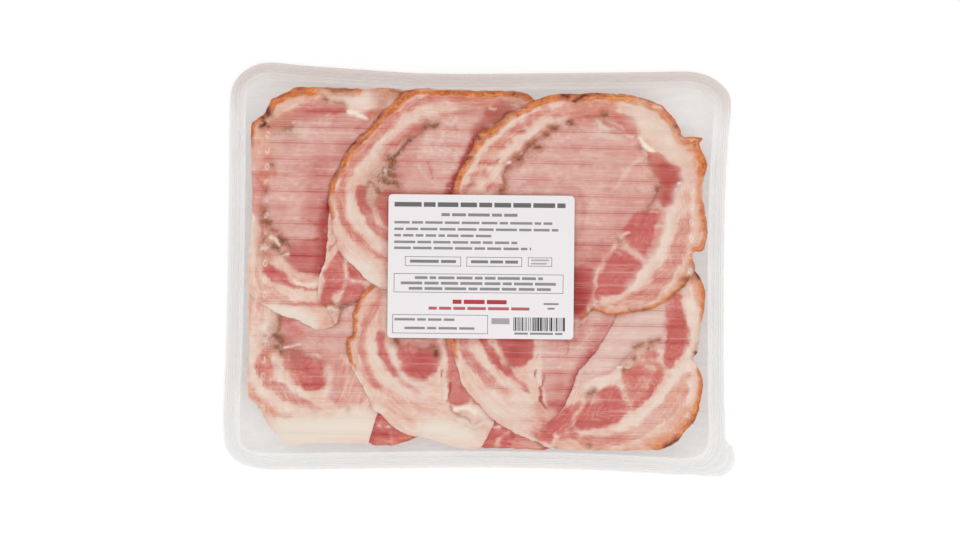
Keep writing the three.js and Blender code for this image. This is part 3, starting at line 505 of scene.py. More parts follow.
        "strokes": """
fat area: -58,-4 -66,-20 -70,-34 -68,-47 -58,-64 -50,-76 -30,-88 2,-92 8,-80 0,-72 -3,-67 -8,-66 -14,-68
 -17.4,-60 -18,-46 -19,-34 -22,-34 -21,-46 -26,-54 -34,-55.6 -41,-50 -43.6,-40 -43,-30 -44,-10
pink 4 0.8: -50.6,-12 -53,-17.6 -57,-24 -59.4,-28.6 -60.4,-34 -60.2,-40 -59.4,-46 -57.6,-52 -53,-57 -47,-61.6
 -41,-65.4 -33,-68.6 -25,-71
muscle 3.4 0.35 2.2: -58,-50.6 -55,-55 -50,-58.8
fat 1 0.4: -62,-52 -58,-58
muscle 4.6 0.85: -51,-33 -50.6,-38 -49.4,-43 -46.6,-48 -44,-51
muscle 4.2 0.45: -44,-51 -40.4,-55 -36,-59 -32,-62
deep 2.6 0.5 2: -51,-35 -50,-41
muscle area 0.92: -42,-38 -42,-43 -40.4,-48 -38,-52 -34,-54.2 -29,-54.4 -25,-52.4 -22.2,-48 -21.8,-43
 -23,-40.4 -27,-39 -33,-38.4 -38,-37
pink 3.4 0.6 2: -39.6,-40 -36,-39.6
pale 0.7 0.5: -35,-42 -33,-39
deep 8 0.75 5: -33,-47 -28,-46
wet 0.8 0.5 0.8: -38,-49.4 -23,-49.4
pink 7 0.25 4: -46,-69 -40,-72 -36,-76
pink 5 0.25 3: -30,-64 -22,-67
muscle area 0.72: -18.6,-33 -17.8,-45 -17.2,-52 -16.8,-58 -16.8,-64 -15.8,-67.2 -12,-68 -9,-66.6 -5,-66.8
 -2,-69 2,-66 -8,-50 -12,-42 -14,-33
pale 3 0.3 1.6: -19.4,-40 -19.8,-50 -19.2,-62
pale 12 1 6: -26,-80 -8,-82
fat 7 0.5 3.4: -47,-62 -37,-67 -24,-70
pale 3 0.6 1.6: -6,-67 0,-73 5,-77
wet 14 0.18 6: -33,-44 -30,-49
pink 5 0.55 2.6: -53,-13 -58,-21
pale 5 0.5 3: -56,-36 -54,-44 -48,-54 -40,-60.6 -30,-63
pale 3 0.6 1.8: -46,-37 -44,-46 -38,-54.6 -30,-57
bright 0.8 0.5: -21.6,-49 -21.4,-56
bright 0.9 0.6: -18.2,-57 -18.4,-64
bright 2.4 0.8: -13.4,-70 -8,-68.6 -3.8,-71.4
bright 0.8 0.6: -12.6,-74.4 -5,-78 0.6,-76
wet 1.1 1 0.5: -16.3,-57 -17,-62 -17.2,-65
wet 0.9 1 0.4: -20.7,-50 -20.5,-53.8
wet 0.8 0.9 0.4: -16.7,-68 -15,-71 -12.4,-73.2
herb 0.5 0.5: -12,-73 -7,-75
herb 0.5 0.4: -9,-75 -4,-77.4 0,-75.4
herb 0.5 0.25: -9,-78 -4,-80 0,-79
bright 1.1 0.85: -66,-47.6 -63.4,-52 -61.6,-56 -59.8,-60 -59.4,-65
bright 0.7 0.7: -45,-78.6 -41,-79.8
pale 2 0.8: -53,-70 -50,-71
rind 2.2: -57,-8 -60.5,-12 -63.4,-17.4 -65.2,-24 -65.6,-33 -67.6,-34.6 -67.6,-40 -66.8,-46
char 0.7 0.4: -57,-7.8 -53,-9
char 0.6 0.3: -67.4,-36 -67.2,-43
herb 1.9: -43.4,-34.8 -41.6,-35.8
herb 1.2 0.9: -26,-38.8 -24.6,-39
herb 0.7 0.6: -33,-38.8 -27,-38.8
char 1.6 0.9: -23.3,-41 -23.2,-42.4
bright 0.7 0.8: -1,-87.2 0,-88.4""",
    },
    "slice_top_inner": {
        "outline": """
 -75.5,16.5 -76.5,3.5 -79.5,-5.5 -79,-17.5 -76,-20 -70.5,-28 -68,-20.5 -58,-16 -38,-15 -17,-12 -2,0 3,20
 -1,44 -13,62 -33,70 -55,65 -69,50 -74,33""",
        "strokes": """
fat area: -88,34 -60,34 -50,-4 -56,-24 -88,-34
pink 3 0.5: -75.6,24 -75.6,18
pink 1.6 0.4: -81.6,-6 -82,-14
muscle area: -71,9.6 -69.8,5 -69.8,-5 -70.6,-9 -72,-11 -74,-12 -75.4,-15 -74,-17.4 -82.4,-17 -80.6,-12
 -79.6,-6 -78.6,0 -76,4 -74,7
muscle area 0.92: -67.4,6 -62,4 -56,-1 -57,-5 -66,-5 -67.4,-1
muscle area 0.95: -68,-8 -58,-8 -58,-17 -71,-17 -70.4,-13 -69,-10
muscle 3 0.7 1.6: -68.6,-6 -67,-12
stain 8 0.5 3.4: -83,-20 -74,-21.6
deep 8 0.35 5: -75,-4 -78,-13
wet 0.8 0.5 0.7: -80,-9.4 -71,-9.4
deep 1.4 0.9 0.8: -67,-6.4
deep 0.8 0.95 0.5: -77,10 -75,12.4 -72.6,14.4
pale 1.4 0.6: -80.4,3 -81.4,-4 -82,-10
pink 1.2 0.7: -72,-21 -71.4,-26
pale 3 0.6 2: -78,-22 -75,-24
stain 5 0.5 2.4: -80,-19 -74,-19.6
tan 1.4 0.7: -84,-17.4 -77,-17.2 -73,-18.8
char 0.8 0.5: -83,-17.2 -79.6,-17.6
herb 1.7: -79,-18.2
herb 1 0.8: -76,-17.2 -74,-18.6
herb 1.9: -71.4,-18.4 -70.4,-18.8
herb 1 0.8: -69.5,-17.2 -65,-17
bright 1.4 0.6: -77,-20 -74,-19.6""",
    },
    "slice_top_left": {
        "outline": """
 -107.4,78.1 -106.5,80.7 -104.8,83.2 -100.8,85.8 -96.3,87.7 -91.9,89.7 -79.4,89.9 -61.4,89.7 -43.4,89.9
 -39.3,88.6 -29,78 -23,62 -22,38 -29,12 -42,-5 -57,-14 -68,-20.5 -70.5,-28 -80,-31 -90,-26.5 -97.5,-24.5
 -109.5,-17.5 -114.5,-12 -113.5,25.5 -114.7,64 -114.4,71.4 -112.1,73.4 -108.3,75.9""",
        "strokes": """
fat area: -113,73 -108,82 -100,88 -90,91 -40,90 -42,83 -47,79.6 -52,78.6 -61,78.6 -66,79.4 -69,82.2 -75,84.2
 -82,85.4 -88,84.4 -93,82 -97,79.6 -102,77 -106,74
muscle area 0.5: -101,75 -96,78.4 -92,81.6 -88,83.8 -80,84.8 -74,83.4 -70,81.6 -67.6,79.6 -71,77.8 -77,77.4
 -84,75.6 -92,74 -98,72.6
muscle 2.4 0.7: -88,79.4 -80,80 -70,79.8
wet 0.8 0.5 0.7: -84,79 -70,79
tan 5 0.5 3: -104,74 -100,76 -94,78.6
pale 5 0.55 4: -103,66 -96,69 -89,70.6
fat area 0.6 2: -118,72 -108,70 -106.6,62 -109,55 -112,50 -118,50
pink 5.6 0.55 2: -113,48 -112.6,38 -113,28
muscle 2 0.5: -111.6,47 -111.6,41
deep 0.8 0.6 1: -110.8,44 -110.6,30 -110.6,18
fat area 0.85 1.6: -118,27 -112.6,27 -111.2,20 -110.8,2 -109,-8 -112,-17 -118,-17
muscle 2.4 0.5: -109,55.4 -105,55.6
muscle 2.2 0.7: -109,47.6 -104,48.4
tan 2.2 0.5: -109,47.4 -104,48.6
deep area 0.85 2.6: -98,7 -97,12 -90,14.6 -81,15 -76,12 -76,0 -81,-2.6 -88,-2.6 -93,-0.6 -97,3
wet 5 0.95 3: -77.4,33 -78.4,26 -79,15 -80,4 -81,-1
deep 15 0.52 6: -80,52 -82,40 -83,28
deep 7 0.5 4: -74,55 -68,62
pink 13 0.8 5: -108,-12 -98,-14 -88,-11
tan 10 0.35 4: -82,-24 -76,-26
stain 8 0.6 3: -51,86 -42,87
tan 7 0.8 3: -87,88 -72,87
pink 5 0.6 2.4: -97,-8.4 -86,-10
muscle 4 0.5 2.4: -109,51 -108.6,41
deep 8 0.3 4: -72,76 -62,74
stain 7 0.75 3.4: -109,17 -108,8
stain 10 0.6 5: -104,72 -97,69
deep 7 0.75 3.4: -80,26 -81,16
wet 1.7 1 1: -84.4,15.3 -82.4,15.4
wet 0.7 0.7 0.6: -90,15 -78,14.8
wet 0.7 0.8 0.6: -95,6.9 -79,6.9
wet 0.7 0.7 0.6: -84,23 -77.4,23
wet 0.5 0.7 0.5: -91,26 -87,25 -83,23.6
wet 0.7 0.6 0.6: -92,-1 -80,-1.6
deep 5 0.2 4: -108,30 -100,30
bright 0.6 0.5: -94,26.2 -91,26.2
fat area 0.9 1.2: -107,17.6 -104,16 -101,14.6 -99.6,11 -101,8 -106,8 -111,8.4 -111,12
fat area: -118,6 -110,7 -104,7 -99,7.6 -98,4 -95,2 -92,-1 -86,-2.8 -78,-3 -78,-14 -66,-14 -66,-30 -84,-34
 -100,-28 -112,-18 -118,-17
muscle area 0.9: -108.6,4.6 -105,2 -101,-0.4 -98,-3 -96,-6 -92,-8 -86,-9 -78,-9 -78,-10 -92,-9.8 -100,-7.8
 -105,-6 -108,-4 -109.6,-1 -109.8,2
deep 1.6 0.5 1.4: -108,-0.4 -103,-1
pink 1.2 0.7: -95,-4.2 -90,-4.6 -84,-5
bright 0.8 0.8: -95,-5 -92,-6.8 -88,-7.4 -82,-7.2
pink 1.2 0.65: -108,-8.6 -103,-11 -98,-13.4
pink area 0.9: -111,-13.4 -105,-12 -100,-14 -95,-16 -88,-16.6 -78,-16.6 -78,-18.2 -92,-18.4 -100,-18.4
 -106,-17.6 -111,-15.4
muscle 1 0.4: -101,-17.4 -84,-17.3
pink 2.2 0.5: -113,6 -112.4,-4 -110,-11
pale 2 0.6: -104,-20.4 -96,-24 -86,-28
pale 9 0.85 3: -104,-20 -94,-23.4 -86,-26
pale 3 0.4 2: -95,-11.6 -90,-12.6 -83,-12.6
pale 6 0.6 4: -78,87 -66,85 -56,84
pale 4 0.4 2: -115,24 -115,4
deep 4 0.55 2.4: -62,70.6 -56.6,76.4 -50,83
tan 11 0.5 6: -111,62 -108,71 -103,76
deep 5 0.4 3.4: -98,73.6 -88,76.6 -78,79
pink 6 0.55 3: -109,56 -108.6,44
tan 8 0.4 5: -109,17 -108,7
rind 4.3 0.9: -94,91 -85,91.2 -75,91.2 -66,90.8
rind 3.4: -108,80 -105.4,85 -101.4,88 -97,90 -92,91.4 -85,91.2 -75,91.2 -66,90.8
tan 6 0.65 3.4: -105,83.6 -97,86.8 -88,88
rind 2 0.5: -66,90.8 -50,91 -41,90
tan 3 0.75: -50,89.6 -43,88
rind 1.4 0.7: -115.4,73.6 -115.8,66
rind 2.2 0.95: -115,73.4 -112,76 -109.6,77.6
tan 4 0.6: -57,77 -52,77.6
pink 4.6 0.7: -57,77.2 -51,77.6
char 2.2: -107.6,79.8 -106.8,77.6
char 1.6 0.8: -109.6,77 -110,75
char 2.2: -110.2,72.2 -109,73.4
char 1.5 0.95: -107.3,71
char 1.1 0.6: -77,90.8 -72,89.8 -65.4,89.4
char 1.2 0.55: -93,90.6 -90,90.8
char 0.8 0.6: -46,89.6 -41,88.8
herb 2 0.55: -98.6,70.4 -95.4,71.6
herb 1.4 0.85: -79,85 -78,85
herb 0.9 0.6: -74,83.8 -69.4,82
herb 1.3 0.7: -105.6,52.8 -105,51.6
herb 1.1 0.8: -109,40.4 -108.6,38.8
herb 1.2 0.8: -109.4,31 -109.2,27.4
herb 2.6 0.95: -109.4,24.4 -107,23.4
herb 1.4 0.8: -109,21
herb 1.8 0.75: -106,20 -104,19
herb 2.6: -101.4,16 -99.4,14.4
herb 1 0.85: -98.6,13.4 -96.4,11.4
herb 2.8: -104.4,11.8 -102.4,10.8
herb 1.3 0.8: -101,9 -99,8
herb 1 0.6: -108,12.6 -106,11.4
tan 2 0.95: -108,17.4 -110.4,13
char 0.9 0.5: -108.6,16.2 -110,14
bright 1.3 0.85: -105.4,15.6 -101.4,13.4
bright 1.6 0.6: -109.6,10.8 -107.6,11
bright 0.8 0.9: -99.6,7.9 -96.8,7.8
bright area 0.9 0.7: -68,80.2 -63.6,79.6 -60,77.8 -56.6,75.8 -58.6,75 -62.4,76.4 -67,78.6
bright 1 0.8: -94.6,73.3""",
    },
    "slice_low_left": {
        "outline": """
 -114,-12.5 -114,-40 -114,-64.5 -108.5,-71 -102.5,-80.5 -93,-89 -82.5,-88.5 -60,-87.6 -53.2,-87.5 -52,-83.4
 -50.5,-77.5 -49,-72 -43.5,-57 -39,-37 -43,-18 -55,-2 -76,5 -99,3 -112,-4""",
        "strokes": """
fat area: -118,-12 -118,-66 -108,-80 -94,-92 -50,-92 -50,-60 -58,-56 -64,-46 -70,-42 -69.6,-52 -71,-60
 -74,-66 -78,-62 -76.6,-54 -80,-44 -84,-41.6 -97,-40.6 -101,-37 -102,-28 -100,-20 -108,-12
pink area 0.5 1.6: -69.4,-46 -66,-48 -63,-53 -58,-58 -57,-63 -60,-67 -66,-68.6 -72,-70 -74.4,-66 -71.4,-60
 -70.4,-54
pink 1.6 0.6: -69.6,-46 -69.8,-53 -71.4,-60 -74,-67
muscle area 0.95: -97,-45 -95,-42.4 -90,-42.4 -85,-44 -81.4,-45.4 -80.6,-48 -79.6,-51 -78,-53 -79,-57
 -81.6,-59.4 -85,-60.4 -90,-60.4 -91.6,-58 -93,-54.6 -95.6,-50
pink 3.6 0.75 1.8: -98.6,-44 -96,-51 -93.4,-56
deep 4 0.5 4: -88,-49 -83,-56
wet 0.7 0.6 0.7: -96,-49.3 -80,-49.2
wet 0.8 0.5 0.7: -90,-58 -80.4,-58
muscle 6 0.75 3: -98,-26 -93,-30
deep 7 0.35 5: -97,-34 -90,-34
pink 8 0.3 4: -74,-46 -74,-54
pale 3.4 0.7 2: -77.6,-49 -76.6,-56 -78.4,-62
pink area 0.95: -106,-36.6 -110,-40 -113,-44 -113.6,-50 -112,-53.4 -109,-55.2 -105.6,-54.6 -104.6,-51
 -105,-46 -105.4,-41 -104.6,-37.4
muscle 3 0.35 2: -111,-45 -111.4,-51
muscle area 0.55: -109.6,-56.4 -103,-55.8 -99,-57.2 -95,-60.2 -91,-63 -87,-65.2 -83,-67.6 -78.4,-70.6 -82,-71
 -90,-69 -98,-66 -103,-62 -108,-58.6
muscle 1.8 0.45: -109,-56.8 -103,-56.6 -99,-58
tan 1.4 0.55: -117,-12 -117,-32 -117,-52
pink 2.6 0.6: -116,-57 -115.4,-62
pink 3 0.6: -115,-59 -112,-65 -107,-70 -101,-73 -96,-73.4
tan 2.6 0.5: -116,-62 -112,-66 -106,-71 -98,-73.4
pink 3.6 0.55 2: -111.4,-17 -109.6,-21 -110.4,-26
pink 1.4 0.4: -113.6,-28 -113.6,-36
muscle 5 0.8 2.6: -79,-46 -79,-55
muscle 8 0.55 3: -101,-37 -94,-42
stain 9 0.75 4: -103,-36 -96,-41 -93,-44
pink 5 0.5 3: -76.6,-45 -75.6,-56
tan 6 0.2 3: -66,-82 -56,-83
pale 16 1 6: -98,-81 -80,-80 -60,-78
pale 7 0.7 3: -108,-26 -106,-34
pale 3 0.6 2: -114.6,-30 -115.6,-44 -114,-57 -106,-64 -96,-70
tan 4 0.3 3: -82,-71.6 -76,-73
tan 4 0.25 3: -66,-82 -57,-81
pale 3 0.5 2: -103,-46 -101,-53 -96,-59 -88,-63
tan 1.6 0.5: -101,-22 -101.8,-27 -103.4,-32
herb 1.2 0.8: -101,-22 -101.8,-27 -103.4,-32 -104.6,-34.4
stain 7 0.7 3: -103.4,-28 -103,-36
herb 2.2: -103.6,-33.4 -101.6,-34.4
herb 2.2 0.95: -100.4,-35 -100,-37
herb 2.4 0.95: -102.6,-38.6 -100.6,-39.2
herb 1.7 0.95: -100.6,-40.4 -100.2,-42
herb 1.2 0.7: -106,-35
herb 0.9 0.7: -99.4,-38 -97,-37.6
char 1.2 0.5: -102.6,-35.6 -101,-36.2
char 1.1 0.5: -108.6,-32.6
char 0.9 0.5: -109.6,-37.6 -108.6,-37.4
herb 0.7 0.5: -99,-41.2 -90,-41.2 -86,-43 -82,-45
herb 0.9 0.4: -103,-48
herb 0.9 0.4: -67,-69.6
bright 1 0.95: -98.6,-39 -96,-38.6
bright 0.8 0.8: -95,-38.4 -91,-37.8
bright 0.8 0.4: -101,-38 -100,-40""",
    },
    "slice_under": {
        "outline": """
 -53.5,-87 -40.5,-88.5 -34.5,-86.5 -28,-84 -14,-85.5 3,-88.5 20,-89 38,-88.5 54,-80 61,-60 55,-37 36,-20
 6,-12 -24,-15 -46,-27 -57,-47 -59,-68""",
        "strokes": """
muscle 44 0.9 2: -60,-80 0,-82 40,-80
deep 5 0.8 3: -54,-81 -48,-82.4
wet 2 0.35 1.6: -54,-82 -47,-82.6
deep 2.4 0.5 2: -52,-74 -53,-79
pink 3 0.5: -51,-84 -47,-86
fat 1.2 0.7: -45.8,-81 -45.2,-87
tan 2.4 0.6: -39,-83.6 -34,-84.6
bright 0.9 0.8: -51.6,-78.6
bright 0.7 0.7: -48.4,-77.8 -47,-78.4
pink 2 0.6: -54,-86.4 -42,-87.4
bright 0.8 0.8: 5.4,-79 9,-79.2
fat 1.4 0.7: 7,-89 7.6,-85.4
fat 1 0.7: 8,-85 13,-81.2
wet 1.6 0.7 0.9: 14.4,-82.4 15.2,-83
pink area 0.8 1.6: 16,-83 34,-86 34,-92 16,-92
fat 0.7 0.5: 13,-85 17,-89
pale 0.7 0.5: 20,-86.4 30,-88
char 1.4 0.6: -33,-83.6 -32,-83.4
rind 1.4 0.9: -36,-84.6 -31.6,-83.6
rind 1.2 0.4: 4,-89.4 20,-89.8 30,-88.8""",
    },
}


# ---------------------------------------------------------------------------------------------------------
# Curves and noise, in millimetres

NOISE_LATTICE = 64
NOISE_SHIFT = 8 * NOISE_LATTICE
MOST_GAPS = 3_000_000
ABOVE_ALL = 40
MIDDLE_HEIGHT = 12


def listed_places(text):
    """Reads places that are written as x,y with spaces between them."""
    return [tuple(map(float, place.split(","))) for place in text.split()]


def listed_strokes(text):
    """Reads rows of strokes. A row that starts with a space goes on from the one above it."""
    strokes = []
    for row in text.strip().replace("\n ", " ").splitlines():
        settings, places = row.split(":")
        kind, width, *more = settings.split()
        strength = float(more[0]) if more else 1
        softness = float(more[1]) if len(more) > 1 else SOFTNESS[kind]
        strokes.append((kind, AREA if width == "area" else float(width), strength, softness,
                        listed_places(places)))
    return strokes


def curve_at(points, shares, closed):
    """Places on a smooth curve through the listed points, at these shares of its course."""
    listed = np.asarray(points, float)
    count = len(listed) if closed else len(listed) - 1
    course = np.asarray(shares, float) * count
    first = np.minimum(course.astype(int), count - 1)
    t = (course - first)[:, None]
    if closed:
        a, b, c, d = (listed[(first + step) % count] for step in (-1, 0, 1, 2))
    else:
        listed = np.vstack([2 * listed[0] - listed[1], listed, 2 * listed[-1] - listed[-2]])
        a, b, c, d = (listed[first + step] for step in (0, 1, 2, 3))
    before, between, after = (
        np.sqrt(np.linalg.norm(q - p, axis=1, keepdims=True)) for p, q in ((a, b), (b, c), (c, d))
    )
    leaving = ((b - a) / before - (c - a) / (before + between) + (c - b) / between) * between
    arriving = ((c - b) / between - (d - b) / (between + after) + (d - c) / after) * between
    return (
        b + leaving * t + (3 * (c - b) - 2 * leaving - arriving) * t ** 2
        + (2 * (b - c) + leaving + arriving) * t ** 3
    )


def dense_curve(points, closed, spacing):
    """A smooth curve through the points, as places no further apart than about the spacing."""
    listed = np.asarray(points, float)
    if len(listed) == 1:
        return listed
    legs = np.linalg.norm(np.roll(listed, -1, axis=0) - listed, axis=1)
    if not closed:
        legs = legs[:-1]
    steps = len(legs) * math.ceil(legs.max() / spacing)
    return curve_at(points, np.arange(steps + (not closed)) / steps, closed)


def patchy(places, scale, seed):
    """Smooth noise from -1 to 1 over the plane, in patches of about that many millimetres."""
    size = NOISE_LATTICE
    lattice = np.random.default_rng(seed).uniform(-1, 1, (size, size))
    course = places / scale + NOISE_SHIFT
    cell = course.astype(int)
    t = course - cell
    t = t * t * (3 - 2 * t)
    columns, rows = cell[:, 0] % size, cell[:, 1] % size
    near = lattice[columns, rows] * (1 - t[:, 0]) + lattice[(columns + 1) % size, rows] * t[:, 0]
    far = (
        lattice[columns, (rows + 1) % size] * (1 - t[:, 0])
        + lattice[(columns + 1) % size, (rows + 1) % size] * t[:, 0]
    )
    return near * (1 - t[:, 1]) + far * t[:, 1]


def gentle_step(value, low, high):
    t = np.clip((value - low) / (high - low), 0, 1)
    return t * t * (3 - 2 * t)


def distance_to(places, line, reach):
    """How far each place is from a dense line of places, counted as far as the reach."""
    found = np.full(len(places), float(reach))
    boxed = np.all((places > line.min(0) - reach) & (places < line.max(0) + reach), axis=1)
    near = np.flatnonzero(boxed)
    pieces = 1 + len(near) * len(line) // MOST_GAPS
    for chunk in np.array_split(near, pieces):
        gaps = places[chunk, None, :] - line[None, :, :]
        found[chunk] = np.minimum(np.sqrt((gaps ** 2).sum(2).min(1)), reach)
    return found


def nearest_of(places, line):
    """The number of the nearest place on a dense line, for each place."""
    found = []
    for chunk in np.array_split(places, 1 + len(places) * len(line) // MOST_GAPS):
        found.append(((chunk[:, None, :] - line[None, :, :]) ** 2).sum(2).argmin(1))
    return np.concatenate(found)


def inside(places, outline):
    """Whether each place lies inside a closed outline."""
    crossings = np.zeros(len(places), int)
    for a, b in zip(outline, np.roll(outline, -1, axis=0)):
        between = (a[1] > places[:, 1]) != (b[1] > places[:, 1])
        if a[1] != b[1]:
            crossing_x = a[0] + (b[0] - a[0]) * (places[:, 1] - a[1]) / (b[1] - a[1])
            crossings += between & (places[:, 0] < crossing_x)
    return crossings % 2 == 1


def from_pack(points):
    return np.asarray(points, float) - PACK_CENTRE


def from_view(points):
    """Places of the view frame in the object's frame."""
    x, y = np.asarray(points, float).T
    return np.stack([x * math.cos(VIEW_TURN) - y * math.sin(VIEW_TURN),
                     x * math.sin(VIEW_TURN) + y * math.cos(VIEW_TURN)], axis=1)


# ---------------------------------------------------------------------------------------------------------
# Mesh work shared by the pieces


def deselect_all():
    bpy.ops.object.select_all(action="DESELECT")


def coordinates(piece):
    flat = np.empty(len(piece.data.vertices) * 3)
    piece.data.vertices.foreach_get("co", flat)
    return flat.reshape(-1, 3)


def place_vertices(piece, places):
    piece.data.vertices.foreach_set("co", np.asarray(places, float).ravel())
    piece.data.update()


def add_grid(name, columns, rows):
    """A flat unit grid, added with nothing else selected."""
    deselect_all()
    bpy.ops.mesh.primitive_grid_add(x_subdivisions=columns, y_subdivisions=rows, size=1)
    piece = bpy.context.object
    piece.name = name
    piece.data.name = name
    return piece


def select_only(piece, faces=None):
    """Selects these faces of a mesh and nothing else on it, for the next edit."""
    bpy.context.view_layer.objects.active = piece
    bpy.context.tool_settings.mesh_select_mode = (False, False, True)
    for part in (piece.data.vertices, piece.data.edges, piece.data.polygons):
        part.foreach_set("select", np.zeros(len(part), bool))
    if faces is not None:
        piece.data.polygons.foreach_set("select", faces)


def delete_faces(piece, faces):
    select_only(piece, faces)
    bpy.ops.object.mode_set(mode="EDIT")
    bpy.ops.mesh.delete(type="FACE")
    bpy.ops.object.mode_set(mode="OBJECT")


def edge_ends(piece):
    ends = np.empty(len(piece.data.edges) * 2, int)
    piece.data.edges.foreach_get("vertices", ends)
    return ends.reshape(-1, 2)


def rim_edges(piece):
    """Which edges have one face only."""
    used = np.empty(len(piece.data.loops), int)
    piece.data.loops.foreach_get("edge_index", used)
    return np.bincount(used, minlength=len(piece.data.edges)) == 1


def cut_sheet(name, outline, step):
    """A flat sheet of small square cells inside a closed outline, its rim drawn onto the outline."""
    lowest, highest = outline.min(0) - step, outline.max(0) + step
    span = highest - lowest
    columns, rows = (math.ceil(side / step) for side in span)
    piece = add_grid(name, columns, rows)
    flat = coordinates(piece)
    flat[:, :2] = (flat[:, :2] + 0.5) * span + lowest
    place_vertices(piece, flat)
    middles = np.empty(len(piece.data.polygons) * 3)
    piece.data.polygons.foreach_get("center", middles)
    delete_faces(piece, ~inside(middles.reshape(-1, 3)[:, :2], outline))
    flat = coordinates(piece)
    rim = np.unique(edge_ends(piece)[rim_edges(piece)])
    flat[rim, :2] = outline[nearest_of(flat[rim, :2], outline)]
    place_vertices(piece, flat)
    return piece


def relaxed(piece, heights, rounds):
    """Heights evened out with their neighbours along the mesh."""
    ends = edge_ends(piece)
    counts = np.bincount(ends.ravel(), minlength=len(heights))
    for _ in range(rounds):
        sums = np.bincount(ends[:, 0], heights[ends[:, 1]], len(heights))
        sums += np.bincount(ends[:, 1], heights[ends[:, 0]], len(heights))
        heights = (heights + sums / np.maximum(counts, 1)) / 2
    return heights


def heights_on(node, places):
    """Height in millimetres of the upper side of a node of the frame above each place."""
    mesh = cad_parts[node].data
    mesh.calc_loop_triangles()
    corners = [v.co / MM for v in mesh.vertices]
    tree = BVHTree.FromPolygons(corners, [tuple(t.vertices) for t in mesh.loop_triangles])
    found = np.empty(len(places))
    for i, (x, y) in enumerate(places):
        hit = tree.ray_cast(Vector((x, y, ABOVE_ALL)), Vector((0, 0, -1)))[0]
        if hit is None:
            hit = tree.find_nearest(Vector((x, y, MIDDLE_HEIGHT)))[0]
        found[i] = hit.z
    return found


def thicken(piece, thickness):
    """Gives a sheet its thickness downwards, in millimetres, before it is brought to metres."""
    solid = piece.modifiers.new("thickness", "SOLIDIFY")
    solid.thickness = thickness
    solid.offset = -1
    bpy.context.view_layer.objects.active = piece
    bpy.ops.object.modifier_apply(modifier=solid.name)


def finish_piece(piece, smooth_angle, slot, material, *nodes):
    """Brings a piece from millimetres to metres, smooths it and gives it its body and material. Its slot is not
    used.
    """
    place_vertices(piece, coordinates(piece) * MM)
    deselect_all()
    piece.select_set(True)
    bpy.context.view_layer.objects.active = piece
    bpy.ops.object.shade_smooth_by_angle(angle=math.radians(smooth_angle))
    piece.data.materials.clear()
    piece.data.materials.append(material)
    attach(piece, "root")
    if nodes:
        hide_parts(*nodes)
    return piece


def store(piece, name, values):
    """Keeps one value for each vertex on the mesh, where the material reads it."""
    attribute = piece.data.attributes.new(name, "FLOAT", "POINT")
    attribute.data.foreach_set("value", np.asarray(values, np.float32))

# ---------------------------------------------------------------------------------------------------------
# Slices

SLICE_CELL = 0.78
SLICE_TOP = 12.3
SLICE_THICKNESS = 0.85
SLICE_STEP = 0.98
LAID_EASING = 2.6
EDGE_DROP = 0.34
EDGE_SLOPE = 1.5
TISSUES = ("loin", "muscle", "pink", "fat", "rind")
# One overlay is painted highlight, pale glints where the moist surface catches the light
OVERLAYS = ("herb", "char", "wet", "deep", "pale", "bright", "tan", "stain")
SOFTNESS = {"loin": 1.4, "muscle": 1.4, "pink": 1.7, "fat": 1.2, "rind": 0.8, "herb": 0.8, "char": 0.7,
            "wet": 1.6, "deep": 2.0, "pale": 1.2, "bright": 0.7, "tan": 1.6}
STAIN_REACH = 3.4
RIND_REACH = 9
# Painted shadow of the label: the slices are drawn a little darker right beside it
LABEL_SHADE = """
deep 3 0.36 2.2: -48.6,39.6 0,39.6 47.4,39 47.2,3 46.8,-35 0,-35.6 -48,-35.4 -48.4,2 -48.6,39.6"""
EDGE_REACH = 30
OUTLINE_SPACING = 0.45
STROKE_SPACING = 0.6
RIND_FADE = (4, 7)
STAIN_START = 0.8
NORMAL_REACH = 3
# Heights of noise and the size of its patches
RAGGED_EDGE = ((0.3, 2.6), (0.22, 1.1))
STROKE_WOBBLE = ((0.8, 3.6), (0.45, 1.5))
DEPTH_WOBBLE = (0.5, 2.2)
RELIEF = ((0.04, 2.4), (0.03, 7))
FAT_RISE = 0.03
HERB_SINK = 0.03
BELOW_PANEL = 0.08
SEEDS_APART = 20
FIRST_SEED = 100


def ragged(outline, seed):
    """A smooth outline with the small tears and bumps of a cooked edge."""
    ahead = np.roll(outline, -NORMAL_REACH, axis=0) - np.roll(outline, NORMAL_REACH, axis=0)
    normal = np.stack([ahead[:, 1], -ahead[:, 0]], axis=1)
    normal /= np.maximum(np.linalg.norm(normal, axis=1, keepdims=True), 1e-9)
    shift = sum(height * patchy(outline, patch, seed + step)
                for step, (height, patch) in enumerate(RAGGED_EDGE))
    return outline + normal * shift[:, None]


